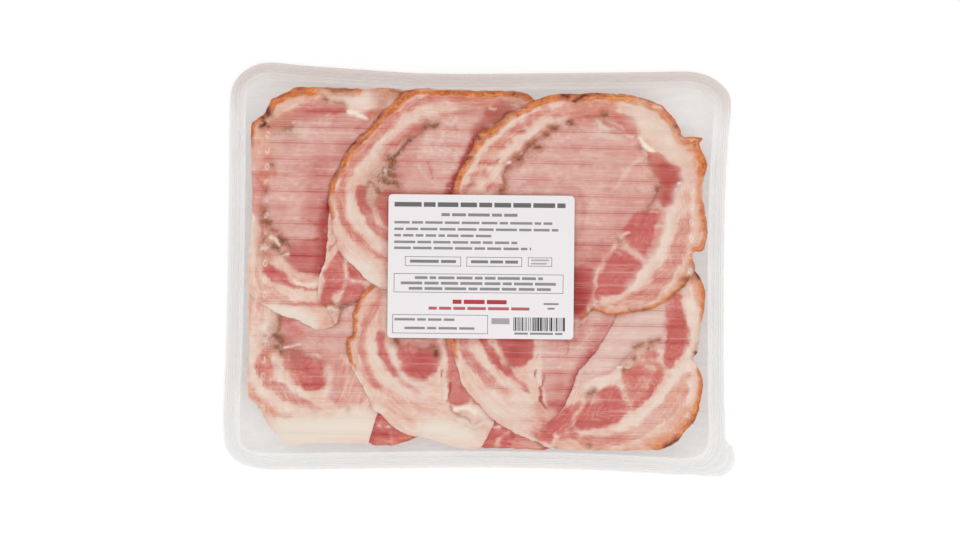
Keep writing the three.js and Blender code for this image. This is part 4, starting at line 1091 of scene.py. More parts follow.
def painted(places, outline, strokes, seed):
    """Shares of the tissues, and the strengths of the overlays, at each place."""
    wobble = np.zeros((len(places), 2))
    for (height, patch), first in zip(STROKE_WOBBLE, (2, 4)):
        wobble += np.stack([patchy(places, patch, seed + first + side) for side in (0, 1)], axis=1) * height
    brushed = places + wobble
    depth = distance_to(places, outline, EDGE_REACH)
    depth += DEPTH_WOBBLE[0] * patchy(places, DEPTH_WOBBLE[1], seed + 8)
    shares = np.zeros((len(places), len(TISSUES)))
    shares[:, 0] = 1
    overlays = {name: np.zeros(len(places)) for name in OVERLAYS}
    for kind, width, strength, softness, points in strokes:
        line = from_view(dense_curve(points, width == AREA, STROKE_SPACING))
        reach = RIND_REACH if kind == "rind" else width / 2 + softness + STAIN_REACH + 1
        distance = distance_to(brushed, line, reach)
        if width == AREA:
            distance = np.where(inside(brushed, line), -distance, distance)
        if kind == "rind" and width != AREA:
            # A rind stroke only says where along the edge the rind runs: its width is its depth
            cover = 1 - gentle_step(depth, width - softness, width + softness)
            cover *= strength * (1 - gentle_step(distance, *RIND_FADE))
        else:
            cover = strength * (1 - gentle_step(distance, width / 2 - softness, width / 2 + softness))
        if kind in overlays:
            overlays[kind] = np.maximum(overlays[kind], cover)
            if kind in ("herb", "char"):
                around = gentle_step(distance, width / 2 - STAIN_START, width / 2 + STAIN_REACH)
                overlays["stain"] = np.maximum(overlays["stain"], strength * (1 - around))
        else:
            shares *= 1 - cover[:, None]
            shares[:, TISSUES.index(kind)] += cover
    return shares, overlays, depth


def pressed_under(places, laid):
    """Heights of a slice that is pressed up against the panel and the slices laid before it."""
    heights = np.full(len(places), SLICE_TOP)
    for outline in laid:
        cover = 1 - gentle_step(distance_to(places, outline, LAID_EASING), 0.3, LAID_EASING)
        heights -= SLICE_STEP * np.where(inside(places, outline), 1, cover)
    return heights


def slice_piece(name, settings, material, seed, laid):
    listed = listed_places(settings["outline"])
    outline = ragged(from_pack(dense_curve(listed, True, OUTLINE_SPACING)), seed)
    piece = cut_sheet(name, outline, SLICE_CELL)
    flat = coordinates(piece)
    places = flat[:, :2].copy()
    heights = pressed_under(places, laid)
    laid.append(outline)
    strokes = listed_strokes(settings["strokes"] + LABEL_SHADE)
    shares, overlays, depth = painted(places, outline, strokes, seed)
    relief = sum(height * patchy(places, patch, seed + step)
                 for step, (height, patch) in enumerate(RELIEF, 6))
    relief += FAT_RISE * shares[:, TISSUES.index("fat")] - HERB_SINK * overlays["herb"]
    flat[:, 2] = heights - BELOW_PANEL + relaxed(piece, relief, 2)
    place_vertices(piece, flat)
    # Each tissue is kept as its share of itself and those under it, so that every seam has one clear edge
    under = shares[:, 0].copy()
    for rank, tissue in enumerate(TISSUES[1:], start=1):
        under += shares[:, rank]
        store(piece, tissue, shares[:, rank] / np.maximum(under, 1e-6))
    for overlay, values in overlays.items():
        store(piece, overlay, values)
    store(piece, "depth", depth)
    thicken(piece, SLICE_THICKNESS)
    # The upper side slopes down to a thin edge
    solid = coordinates(piece)
    solid[:len(flat), 2] -= EDGE_DROP * (1 - gentle_step(depth, 0, EDGE_SLOPE))
    place_vertices(piece, solid)
    return finish_piece(piece, 50, "roast_pork", material, name)


# ---------------------------------------------------------------------------------------------------------
# Tray

TRAY_PROFILE = [
    (8.55, 12.94), (8.15, 12.74), (7.85, 12.4), (7.62, 11.9), (7.45, 11.2), (7.12, 9.2), (6.78, 7.2),
    (6.45, 5.2), (6.3, 4.4), (6.12, 3.85), (5.85, 3.42), (5.4, 3.14), (5.0, 3.02), (4.72, 2.86), (4.5, 2.5),
    (4.3, 2.0), (4.1, 1.5), (3.85, 1.16), (3.5, 1.02), (3.0, 1.0), (2.6, 1.0), (2.35, 1.13), (2.1, 1.0),
    (1.6, 1.0), (1.35, 1.12), (1.1, 1.0), (0.5, 1.0), (0, 0.97),
]
RIB_ROWS = (-4.025, -3.6, -3.2, -2.8, -2.4, -2.0, 0, 2.0, 2.4, 2.8, 3.2, 3.6)
STRAIGHT_ROWS = 86.3
END_COLUMN = 110.0
FINE_COLUMNS = (96, 97, 98, 99, 100, 101, 102.5, 104, 104.6, 105.2, 105.8, 106.4, 107, 107.6, 108.2, 108.9)
MIDDLE_COLUMNS = np.linspace(-91, 91, 41)
OUTER_COLUMNS = 4
OUTER_ROWS = 8
TAB_EASING = 2.4
TAB_CORNER = (104, -74)
EDGE_STEPS = 8000
RIM_STEPS = 12000
FAR_ROWS = 60


def pack_ring(shares, inset):
    """Places of the pack's frame on a ring round it, that far in from its outline."""
    at = curve_at(PACK_OUTLINE, shares, True)
    along = curve_at(PACK_OUTLINE, (shares + CORNER_EASING) % 1, True)
    along -= curve_at(PACK_OUTLINE, (shares + 1 - CORNER_EASING) % 1, True)
    along /= np.linalg.norm(along, axis=1, keepdims=True)
    return at + np.stack([-along[:, 1], along[:, 0]], axis=1) * inset


def rib_height(places):
    """Height of the ribs over the panel, at places of the pack's frame."""
    rank = np.clip(np.round((places[:, 1] - RIB_OFFSET) / RIB_PITCH), -RIBS_EACH_SIDE, RIBS_EACH_SIDE)
    half = RIB_HALF_LENGTH - RIB_FOOT - OUTER_RIB_SHORTENING * (np.abs(rank) == RIBS_EACH_SIDE)
    past_end = np.maximum(np.abs(places[:, 0]) - half, 0)
    distance = np.hypot(past_end, places[:, 1] - RIB_OFFSET - rank * RIB_PITCH)
    return RIB_HEIGHT * (1 - gentle_step(distance, RIB_CROWN, RIB_FOOT))


def blended(a, b, steps):
    """Rows of values from a towards b, without b itself."""
    return [a + (b - a) * step / steps for step in range(steps)]


def panel_places():
    """A grid of places over the panel: straight rows along the ribs, then rows that bend to its edge."""
    edge = pack_ring(np.arange(EDGE_STEPS) / EDGE_STEPS, PANEL_INSET)
    right, left = edge[edge[:, 0] > 0], edge[edge[:, 0] < 0]
    ys = [RIB_OFFSET + rank * RIB_PITCH + step
          for rank in range(-RIBS_EACH_SIDE, RIBS_EACH_SIDE + 1) for step in RIB_ROWS]
    ys = [y for y in ys if abs(y) < STRAIGHT_ROWS]

    def side_x(side, y):
        return side[np.abs(side[:, 1] - y).argmin(), 0]

    def columns(start, end):
        inner = np.concatenate([-np.array(FINE_COLUMNS)[::-1], MIDDLE_COLUMNS, FINE_COLUMNS])
        outer_left = blended(start, -END_COLUMN, OUTER_COLUMNS)
        outer_right = blended(end, END_COLUMN, OUTER_COLUMNS)[::-1]
        return np.concatenate([outer_left, [-END_COLUMN], inner, [END_COLUMN], outer_right])

    rows = []
    for y in ys:
        xs = columns(side_x(left, y), side_x(right, y))
        rows.append(np.stack([xs, np.full(len(xs), y)], axis=1))
    for up in (1, -1):
        last = rows[-1] if up > 0 else rows[0]
        corners = [side[(side[:, 1] * up + np.abs(side[:, 0])).argmax()] for side in (left, right)]
        xs = columns(corners[0][0], corners[1][0])
        far = edge[edge[:, 1] * up > FAR_ROWS]
        top = np.stack([xs, far[np.abs(far[:, None, 0] - xs[None, :]).argmin(0), 1]], axis=1)
        top[0], top[-1] = corners
        u = ((top[:, 0] - top[0, 0]) / (top[-1, 0] - top[0, 0]))[:, None]
        strip = []
        for step in range(1, OUTER_ROWS + 1):
            v = step / OUTER_ROWS
            sides = []
            for side, corner, base in ((left, corners[0], last[0]), (right, corners[1], last[-1])):
                y = base[1] + (corner[1] - base[1]) * v
                arc = side[np.abs(side[:, 0]) > abs(corner[0]) - 0.01]
                sides.append(np.array([side_x(arc, y), y]))
            flat = (1 - v) * last + v * top
            ends = (1 - u) * (sides[0] - flat[0]) + u * (sides[1] - flat[-1])
            strip.append(flat + ends)
        rows = rows + strip if up > 0 else strip[::-1] + rows
    return np.array(rows)


def with_tab(ring):
    """Draws the part of a ring at the tab out to the tab's outline."""
    root = np.array(TAB_ROOT, float)
    tab = np.array(TAB_OUTLINE, float)
    drawn = ring.copy()
    for i, place in enumerate(ring):
        if place[0] < TAB_CORNER[0] or place[1] > TAB_CORNER[1]:
            continue
        ray = place - root
        for a, b in zip(tab[:-1], tab[1:]):
            side = b - a
            cross = ray[0] * side[1] - ray[1] * side[0]
            if abs(cross) < 1e-9:
                continue
            reach = ((a[0] - root[0]) * side[1] - (a[1] - root[1]) * side[0]) / cross
            along = ((a[0] - root[0]) * ray[1] - (a[1] - root[1]) * ray[0]) / cross
            if reach > 1 and 0 <= along <= 1:
                drawn[i] = root + ray * max(reach, 1)
    return drawn


def extrude_rim(piece):
    """Extrudes the open rim by one row of faces. Gives the new rim's vertices, and the old one beside each."""
    old_edges = rim_edges(piece)
    old_rim = np.unique(edge_ends(piece)[old_edges])
    bpy.context.view_layer.objects.active = piece
    bpy.context.tool_settings.mesh_select_mode = (False, True, False)
    chosen = np.zeros(len(piece.data.vertices), bool)
    chosen[old_rim] = True
    piece.data.polygons.foreach_set("select", np.zeros(len(piece.data.polygons), bool))
    piece.data.edges.foreach_set("select", old_edges)
    piece.data.vertices.foreach_set("select", chosen)
    bpy.ops.object.mode_set(mode="EDIT")
    bpy.ops.mesh.extrude_region_move()
    bpy.ops.object.mode_set(mode="OBJECT")
    new_rim = np.arange(len(chosen), len(piece.data.vertices))
    places = coordinates(piece)
    return new_rim, old_rim[nearest_of(places[new_rim, :2], places[old_rim, :2])]


def tray_piece(material):
    rows = panel_places()
    piece = add_grid("tray_shell", rows.shape[1] - 1, rows.shape[0] - 1)
    grid = rows.reshape(-1, 2)
    place_vertices(piece, np.column_stack([grid, PANEL_TOP + rib_height(grid)]))
    dense_shares = np.arange(RIM_STEPS) / RIM_STEPS
    rim = np.unique(edge_ends(piece)[rim_edges(piece)])
    shares = np.zeros(len(grid))
    shares[rim] = dense_shares[nearest_of(grid[rim], pack_ring(dense_shares, PANEL_INSET))]
    insets = np.full(len(grid), PANEL_INSET)
    for inset, z in TRAY_PROFILE:
        rim, beside = extrude_rim(piece)
        shares = np.concatenate([shares, shares[beside]])
        insets = np.concatenate([insets, np.full(len(rim), inset)])
        ring = pack_ring(shares[rim], inset)
        if inset < TAB_EASING:
            ring += (with_tab(ring) - ring) * (1 - inset / TAB_EASING)
        places = coordinates(piece)
        places[rim] = np.column_stack([ring, np.full(len(rim), z)])
        place_vertices(piece, places)
    store(piece, "inset", insets)
    store(piece, "rib", np.concatenate([rib_height(grid), np.zeros(len(insets) - len(grid))]) / RIB_HEIGHT)
    places[:, :2] -= PACK_CENTRE
    place_vertices(piece, places)
    thicken(piece, TRAY_WALL)
    return finish_piece(piece, 60, "tray_plastic", material, "tray")


# ---------------------------------------------------------------------------------------------------------
# Film

FILM_CELL = 2.0
FILM_SHEET = 0.2
FILM_STEPS = 1600
FILM_REACH = 60
# The film is flat under the flange and drawn up further in
FILM_FLAT = 16
FILM_DRAWN = 34
FLAT_HEIGHT = 0.28
LOWEST_HEIGHT = 0.2
BELOW_SOLID = 0.05
FINE_CREASE = (0.22, 3.2, 91)
BROAD_CREASE = (0.3, 11, 92)


def film_piece(material):
    shares = np.arange(FILM_STEPS) / FILM_STEPS
    outline = with_tab(pack_ring(shares, 0)) - PACK_CENTRE
    piece = cut_sheet("sealing_film", outline, FILM_CELL)
    flat = coordinates(piece)
    places = flat[:, :2].copy()
    heights = relaxed(piece, heights_on("film", places), 6)
    inset = distance_to(places, outline, FILM_REACH)
    crease = FINE_CREASE[0] * patchy(places * (0.3, 1), *FINE_CREASE[1:])
    crease += BROAD_CREASE[0] * patchy(places, *BROAD_CREASE[1:])
    drawn = heights - BELOW_SOLID + crease * gentle_step(inset, FILM_FLAT, FILM_DRAWN)
    flat[:, 2] = np.where(inset < FILM_FLAT, FLAT_HEIGHT, np.maximum(drawn, LOWEST_HEIGHT))
    place_vertices(piece, flat)
    store(piece, "inset", inset)
    thicken(piece, FILM_SHEET)
    return finish_piece(piece, 60, "sealing_film", material, "film")

# ---------------------------------------------------------------------------------------------------------
# Label: paper, and its print as plain bars, frames and stripes, in the label's own frame

PRINT_RISE = 0.02
PRINT_SEED = 17
WORD_GAP = 1.1
WORD_SPREAD = (0.45, 1.7)
HEADING_WORD = 9
TEXT_WORD = 7
TEXT_DARKNESS = 0.68
FRAME_LINE = 0.28
FRAME_DARKNESS = 0.8
STRIPE_WIDTHS = [0.33, 0.33, 0.66, 0.99]
STRIPE_GAPS = [0.33, 0.33, 0.66]
STRIPE_DARKNESS = 0.95
RING_LINE = 0.35
RING_SIDES = 40
# Bars of (left, right, middle height, bar height, darkness, red)
HEADING_BARS = [
    (-43.5, 42, 30.9, 2.3, 0.84, 0), (-20, 18, 25.9, 1.5, 0.7, 0), (5.5, 14.5, -27.1, 2.9, 0.55, 0),
    (-14, 13, -17.6, 2.1, 0.95, 1), (-26, 25.5, -20.9, 1.5, 0.85, 1), (-35.5, -12.5, 2.5, 1.5, 0.75, 0),
    (-5, 18.5, 2.5, 1.5, 0.75, 0), (25, 34, 3.5, 0.8, 0.5, 0), (25, 34, 1.8, 0.8, 0.5, 0),
    (31.5, 39, -18.3, 0.9, 0.7, 0), (33.5, 37, -20.6, 0.9, 0.7, 0), (17, 41, -33.2, 1.0, 0.7, 0),
]
TEXT_BARS = [
    (-43.5, 35.5, 21.9, 1.25), (-43.5, 38.5, 18.6, 1.25), (-43.5, 5, 15.4, 1.25), (-43.5, 18, 12.1, 1.25),
    (-43.5, 25, 9.1, 1.25), (-33, 31, -5.7, 1.4), (-40, 37.5, -8.4, 1.4), (-36, 35, -11.1, 1.4),
    (-43, -13, -26.6, 1.2), (-38, -3, -30.9, 1.2),
]
FRAMES = [
    (-38, -10, 0.1, 4.9), (-7.25, 20.5, 0.1, 4.9), (23.5, 35.5, 0.4, 4.9), (-43.5, 41.25, -13.1, -3.6),
    (-44, 3.75, -33.6, -24.1),
]
STRIPES = (16.5, 41.5, -31.9, -25.1)
OVAL = (35.25, -19.4, 5.25, 3.4)
ROUND_MARK = (9, -31.1, 1.9, 1.7)


def print_bars():
    """Every bar of the print: left, right, bottom, top, darkness, red."""
    draw = np.random.default_rng(PRINT_SEED)
    bars = []

    def words(left, right, middle, height, dark, red, mean):
        at = left
        while at < right:
            end = min(at + draw.uniform(*WORD_SPREAD) * mean, right)
            bars.append((at, end, middle - height / 2, middle + height / 2, dark, red))
            at = end + WORD_GAP

    for left, right, middle, height, dark, red in HEADING_BARS:
        words(left, right, middle, height, dark, red, HEADING_WORD)
    for left, right, middle, height in TEXT_BARS:
        words(left, right, middle, height, TEXT_DARKNESS, 0, TEXT_WORD)
    for left, right, bottom, top in FRAMES:
        for a, b, c, d in ((left, right, bottom, bottom + FRAME_LINE), (left, right, top - FRAME_LINE, top),
                           (left, left + FRAME_LINE, bottom, top), (right - FRAME_LINE, right, bottom, top)):
            bars.append((a, b, c, d, FRAME_DARKNESS, 0))
    at = STRIPES[0]
    while at < STRIPES[1]:
        width = draw.choice(STRIPE_WIDTHS)
        bars.append((at, at + width, STRIPES[2], STRIPES[3], STRIPE_DARKNESS, 0))
        at += width + draw.choice(STRIPE_GAPS)
    return bars


def on_label(places):
    """Places of the label's own frame in the object's frame."""
    turned = places @ np.array([[math.cos(LABEL_TURN), math.sin(LABEL_TURN)],
                                [-math.sin(LABEL_TURN), math.cos(LABEL_TURN)]])
    return turned + np.array(LABEL_PLACE) - PACK_CENTRE


def label_piece(material):
    deselect_all()
    bpy.ops.mesh.primitive_plane_add(size=1)
    piece = bpy.context.object
    piece.name = "paper_label"
    flat = coordinates(piece)
    flat[:, :2] *= LABEL_SIZE
    place_vertices(piece, flat)
    bpy.ops.object.mode_set(mode="EDIT")
    bpy.ops.mesh.select_all(action="SELECT")
    bpy.ops.mesh.bevel(offset=LABEL_CORNER, segments=8, affect="VERTICES")
    bpy.ops.object.mode_set(mode="OBJECT")
    flat = coordinates(piece)
    flat[:, :2] = on_label(flat[:, :2])
    flat[:, 2] = LABEL_BOTTOM + LABEL_THICKNESS
    place_vertices(piece, flat)
    thicken(piece, LABEL_THICKNESS)
    rim = piece.modifiers.new("soft_edge", "BEVEL")
    rim.width = 0.06
    rim.segments = 2
    bpy.ops.object.modifier_apply(modifier=rim.name)
    return finish_piece(piece, 40, "label_paper", material, "label")


def label_print_piece(material):
    """All the bars as thin plates in one mesh, with two round marks."""
    bars = print_bars()
    deselect_all()
    bpy.ops.mesh.primitive_plane_add(size=1)
    piece = bpy.context.object
    piece.name = "label_print"
    bpy.ops.object.mode_set(mode="EDIT")
    for _ in bars[1:]:
        bpy.ops.mesh.primitive_plane_add(size=1)
    bpy.ops.object.mode_set(mode="OBJECT")
    corners = coordinates(piece).reshape(-1, 4, 3)
    for quad, (left, right, bottom, top, _, _) in zip(corners, bars):
        quad[:, 0] = np.where(quad[:, 0] > 0, right, left)
        quad[:, 1] = np.where(quad[:, 1] > 0, top, bottom)
    place_vertices(piece, corners.reshape(-1, 3))
    depth = np.repeat([bar[4] for bar in bars], 4)
    red = np.repeat([bar[5] for bar in bars], 4)
    for x, y, half_x, half_y in (OVAL, ROUND_MARK):
        before = len(piece.data.vertices)
        bpy.ops.object.mode_set(mode="EDIT")
        bpy.ops.mesh.select_all(action="DESELECT")
        bpy.ops.mesh.primitive_circle_add(vertices=RING_SIDES, radius=1)
        bpy.ops.mesh.extrude_region_move()
        bpy.ops.transform.resize(value=(1 - RING_LINE / half_x, 1 - RING_LINE / half_y, 1))
        bpy.ops.object.mode_set(mode="OBJECT")
        places = coordinates(piece)
        places[before:, :2] = places[before:, :2] * (half_x, half_y) + (x, y)
        place_vertices(piece, places)
        depth = np.concatenate([depth, np.full(len(places) - before, FRAME_DARKNESS)])
        red = np.concatenate([red, np.zeros(len(places) - before)])
    places = coordinates(piece)
    places[:, :2] = on_label(places[:, :2])
    places[:, 2] = LABEL_BOTTOM + LABEL_THICKNESS + PRINT_RISE
    place_vertices(piece, places)
    store(piece, "ink_depth", depth)
    store(piece, "red_ink", red)
    return finish_piece(piece, 40, "label_paper", material)

# ---------------------------------------------------------------------------------------------------------
# Materials


def srgb(red, green, blue):
    """A colour of the screen, from 0 to 255, as a linear colour."""
    parts = (c / 255 for c in (red, green, blue))
    return tuple(c / 12.92 if c <= 0.04045 else ((c + 0.055) / 1.055) ** 2.4 for c in parts) + (1,)


def add_node(tree, kind, inputs=None, **settings):
    """A node with its settings, and its inputs linked from sockets or set to values."""
    node = tree.nodes.new("ShaderNode" + kind)
    for name, value in settings.items():
        setattr(node, name, value)
    for name, value in (inputs or {}).items():
        if isinstance(value, bpy.types.NodeSocket):
            tree.links.new(value, node.inputs[name])
        else:
            node.inputs[name].default_value = value
    return node


def calc(tree, operation, *values, clamp=False):
    node = add_node(tree, "Math", dict(enumerate(values)), operation=operation, use_clamp=clamp)
    return node.outputs[0]


def mixed(tree, factor, a, b, blend="MIX"):
    node = add_node(tree, "Mix", {0: factor, 6: a, 7: b}, data_type="RGBA", blend_type=blend)
    return node.outputs[2]


def ranged(tree, value, low, high, to_low=0.0, to_high=1.0):
    node = add_node(tree, "MapRange", {0: value, 1: low, 2: high, 3: to_low, 4: to_high},
                    interpolation_type="SMOOTHSTEP")
    return node.outputs[0]


def noise(tree, places, scale, detail=2.0, roughness=0.5):
    node = add_node(tree, "TexNoise", {"Vector": places, "Scale": scale, "Detail": detail,
                                       "Roughness": roughness})
    return node.outputs["Fac"]


def millimetres(tree, stretch=(1, 1, 1)):
    """The piece's own places in millimetres, stretched along its axes."""
    at = add_node(tree, "TexCoord").outputs["Object"]
    scale = tuple(s / MM for s in stretch)
    return add_node(tree, "Mapping", {"Vector": at, "Scale": scale}).outputs["Vector"]


def stored(tree, name):
    return add_node(tree, "Attribute", attribute_name=name).outputs["Fac"]


def new_group(name, inputs, outputs):
    """An empty node group with these named sockets. Gives the group and its input and output nodes."""
    group = bpy.data.node_groups.new(name, "ShaderNodeTree")
    kinds = {"value": "NodeSocketFloat", "colour": "NodeSocketColor"}
    for socket, (kind, default) in inputs.items():
        made = group.interface.new_socket(socket, in_out="INPUT", socket_type=kinds[kind])
        made.default_value = default
    for socket, kind in outputs.items():
        group.interface.new_socket(socket, in_out="OUTPUT", socket_type=kinds[kind])
    return group, group.nodes.new("NodeGroupInput").outputs, group.nodes.new("NodeGroupOutput").inputs


def use_group(tree, group, **inputs):
    node = tree.nodes.new("ShaderNodeGroup")
    node.node_tree = group
    for name, value in inputs.items():
        socket = node.inputs[name.replace("_", " ")]
        if isinstance(value, bpy.types.NodeSocket):
            tree.links.new(value, socket)
        else:
            socket.default_value = value
    return node.outputs


def edge_layers_group():
    """Uneven layers that run along the edge of a slice, as lean and fat do in a rolled belly."""
    group, given, out = new_group(
        "edge_layers", {"Across": ("value", 0.5), "Along": ("value", 0.06)}, {"Mask": "value"})
    at = add_node(group, "SeparateXYZ", {"Vector": millimetres(group)}).outputs
    layered = add_node(group, "CombineXYZ", {
        "X": calc(group, "MULTIPLY", at["X"], given["Along"]),
        "Y": calc(group, "MULTIPLY", at["Y"], given["Along"]),
        "Z": calc(group, "MULTIPLY", stored(group, "depth"), given["Across"])}).outputs["Vector"]
    group.links.new(noise(group, layered, 1.0, 4.0, 0.55), out["Mask"])
    return group


def torn_edge_group():
    """Turns a soft mask into one with an irregular, fairly sharp edge."""
    group, given, out = new_group(
        "torn_edge",
        {"Mask": ("value", 0.0), "Layers": ("value", 0.5), "Tear": ("value", 0.3), "Sharpness": ("value", 3.0)},
        {"Mask": "value"})
    ripple = noise(group, millimetres(group), 0.6, 4.0, 0.62)
    ripple = calc(group, "MULTIPLY", calc(group, "ADD", ripple, given["Layers"]), 0.5)
    centred = calc(group, "MULTIPLY", calc(group, "SUBTRACT", ripple, 0.5), given["Tear"])
    # The tear fades where the mask is empty or full
    open_part = calc(group, "MULTIPLY", given["Mask"], calc(group, "SUBTRACT", 1.0, given["Mask"]))
    shifted = calc(group, "ADD", given["Mask"], calc(group, "MULTIPLY", centred,
                                                      calc(group, "MULTIPLY", open_part, 4.0)))
    sharp = calc(group, "MULTIPLY", calc(group, "SUBTRACT", shifted, 0.5), given["Sharpness"])
    group.links.new(calc(group, "ADD", sharp, 0.5, clamp=True), out["Mask"])
    return group


def mottle_group():
    """Mixes a colour towards two others in patches of two sizes."""
    group, given, out = new_group(
        "mottle",
        {"Colour": ("colour", (1, 1, 1, 1)), "Light": ("colour", (1, 1, 1, 1)),
         "Dark": ("colour", (0, 0, 0, 1)), "Patch": ("value", 0.2), "Strength": ("value", 0.5)},
        {"Colour": "colour"})
    at = millimetres(group)
    big = noise(group, at, given["Patch"], 3.0, 0.6)
    small = noise(group, at, calc(group, "MULTIPLY", given["Patch"], 5.0), 3.0, 0.6)
    blend = calc(group, "ADD", calc(group, "MULTIPLY", big, 0.6), calc(group, "MULTIPLY", small, 0.4))
    lighter = calc(group, "MULTIPLY", ranged(group, blend, 0.5, 0.66), given["Strength"])
    darker = calc(group, "MULTIPLY", ranged(group, blend, 0.5, 0.34), given["Strength"])
    colour = mixed(group, lighter, given["Colour"], given["Light"])
    group.links.new(mixed(group, darker, colour, given["Dark"]), out["Colour"])
    return group


def contact_lines_group():
    """Fine damp lines along the ribs and stronger ones between them, with painted shade at the grooves and
    painted highlights on the crowns.
    """
    group, given, out = new_group(
        "contact_lines", {"Fine": ("value", 0.5), "Grooves": ("value", 0.5)},
        {"Wet": "value", "Shade": "value", "Glow": "value"})
    fine = noise(group, millimetres(group, (0.012, 1.1, 1)), 1.0, 2.0, 0.7)
    fine_mask = calc(group, "MULTIPLY", ranged(group, fine, 0.48, 0.7), given["Fine"])
    at = add_node(group, "SeparateXYZ", {"Vector": millimetres(group)}).outputs
    first = RIB_OFFSET - PACK_CENTRE[1] + RIB_PITCH / 2
    phase = calc(group, "DIVIDE", calc(group, "SUBTRACT", at["Y"], first), RIB_PITCH)
    above = calc(group, "MULTIPLY", calc(group, "SUBTRACT", phase, calc(group, "ROUND", phase)), RIB_PITCH)
    drift = noise(group, millimetres(group, (0.03, 0.12, 1)), 1.0, 3.0, 0.6)
    above = calc(group, "MULTIPLY_ADD", calc(group, "SUBTRACT", drift, 0.5), 0.7, above)
    line = ranged(group, calc(group, "ABSOLUTE", above), 0.5, 0.1)
    second = ranged(group, calc(group, "ABSOLUTE", calc(group, "SUBTRACT", above, 1.15)), 0.42, 0.1)
    line = calc(group, "MAXIMUM", line, calc(group, "MULTIPLY", second, 0.55))
    broken = ranged(group, noise(group, millimetres(group, (0.05, 0.12, 1)), 1.0, 3.0, 0.6), 0.32, 0.56, 0.25)
    groove_mask = calc(group, "MULTIPLY", calc(group, "MULTIPLY", line, broken), given["Grooves"])
    group.links.new(calc(group, "MAXIMUM", fine_mask, groove_mask), out["Wet"])
    # Painted shade: the food is drawn a little darker near each groove than under the middle of a rib
    away = calc(group, "ABSOLUTE", above)
    group.links.new(ranged(group, away, 3.4, 0.6), out["Shade"])
    # Painted highlights: pale streaks along the rib crowns, away from the grooves
    light = noise(group, millimetres(group, (0.02, 0.9, 1)), 1.0, 2.0, 0.7)
    group.links.new(calc(group, "MULTIPLY", ranged(group, light, 0.5, 0.7), ranged(group, away, 0.8, 2.6)),
                    out["Glow"])
    return group


def rib_end_glints_group():
    """Painted highlights: small pale rings where the round end of each rib catches the light, drawn on the
    food.
    """
    group, given, out = new_group("painted_rib_end_glints", {"Strength": ("value", 0.8)}, {"Mask": "value"})
    at = add_node(group, "SeparateXYZ", {"Vector": millimetres(group)}).outputs
    from_middle = calc(group, "ABSOLUTE", calc(group, "ADD", at["X"], PACK_CENTRE[0]))
    across = calc(group, "DIVIDE", calc(group, "SUBTRACT", from_middle, GLINT_RING_PLACE), GLINT_RING_SIZE[0])
    phase = calc(group, "DIVIDE", calc(group, "ADD", at["Y"], PACK_CENTRE[1] - RIB_OFFSET), RIB_PITCH)
    along = calc(group, "MULTIPLY", calc(group, "SUBTRACT", phase, calc(group, "ROUND", phase)),
                 RIB_PITCH / GLINT_RING_SIZE[1])
    radius = calc(group, "SQRT", calc(group, "ADD", calc(group, "MULTIPLY", across, across),
                                      calc(group, "MULTIPLY", along, along)))
    ring = ranged(group, calc(group, "ABSOLUTE", calc(group, "SUBTRACT", radius, 1.0)), 0.5, 0.1)
    within = calc(group, "MULTIPLY", ranged(group, radius, 1.0, 0.5), 0.3)
    broken = ranged(group, noise(group, millimetres(group), 0.3, 2.0), 0.4, 0.58, 0.1)
    ends = calc(group, "MULTIPLY", calc(group, "MAXIMUM", ring, within), broken)
    group.links.new(calc(group, "MULTIPLY", ends, given["Strength"]), out["Mask"])
    return group


EDGE_LAYERS = edge_layers_group()
RIB_END_GLINTS = rib_end_glints_group()
TORN_EDGE = torn_edge_group()
MOTTLE = mottle_group()
CONTACT_LINES = contact_lines_group()


def new_material(name):
    material = bpy.data.materials.new(name)
    material.use_nodes = True
    tree = material.node_tree
    return material, tree, tree.nodes["Principled BSDF"]


def set_finish(shader, **values):
    for name, value in values.items():
        shader.inputs[name.replace("_", " ")].default_value = value


def connect(tree, shader, **sockets):
    for name, socket in sockets.items():
        tree.links.new(socket, shader.inputs[name.replace("_", " ")])


def bump(tree, height, distance, strength=1.0):
    return add_node(tree, "Bump", {"Height": height, "Distance": distance * MM,
                                   "Strength": strength}).outputs["Normal"]


LOIN = srgb(214, 165, 154)
LOIN_LIGHT = srgb(228, 188, 177)
LOIN_DARK = srgb(203, 142, 132)
MUSCLE = srgb(197, 99, 93)
MUSCLE_LIGHT = srgb(211, 134, 125)
MUSCLE_DARK = srgb(184, 76, 71)
PINK = srgb(208, 136, 121)
PINK_LIGHT = srgb(221, 166, 148)
PINK_DARK = srgb(196, 112, 100)
FAT = srgb(225, 189, 172)
FAT_LIGHT = srgb(234, 214, 199)
FAT_DARK = srgb(216, 167, 150)
FAT_BLUSH = srgb(214, 158, 143)
RIND = srgb(206, 112, 54)
RIND_LIGHT = srgb(226, 154, 96)
RIND_DARK = srgb(152, 66, 28)
RIND_EDGE = srgb(156, 70, 30)
HERB = srgb(136, 86, 44)
HERB_DARK = srgb(80, 42, 18)
STAIN = srgb(170, 98, 76)
CHAR = srgb(90, 34, 16)
# Dark reds of damp and darker tissue, used also as painted shade beside the slices laid above
WET_RED_AND_SHADE = srgb(162, 44, 42)
DEEP_RED_AND_SHADE = srgb(188, 84, 76)
PALE = srgb(229, 217, 203)
TAN = srgb(214, 134, 90)
# Pale colour of the painted highlights
HIGHLIGHT = srgb(240, 226, 210)


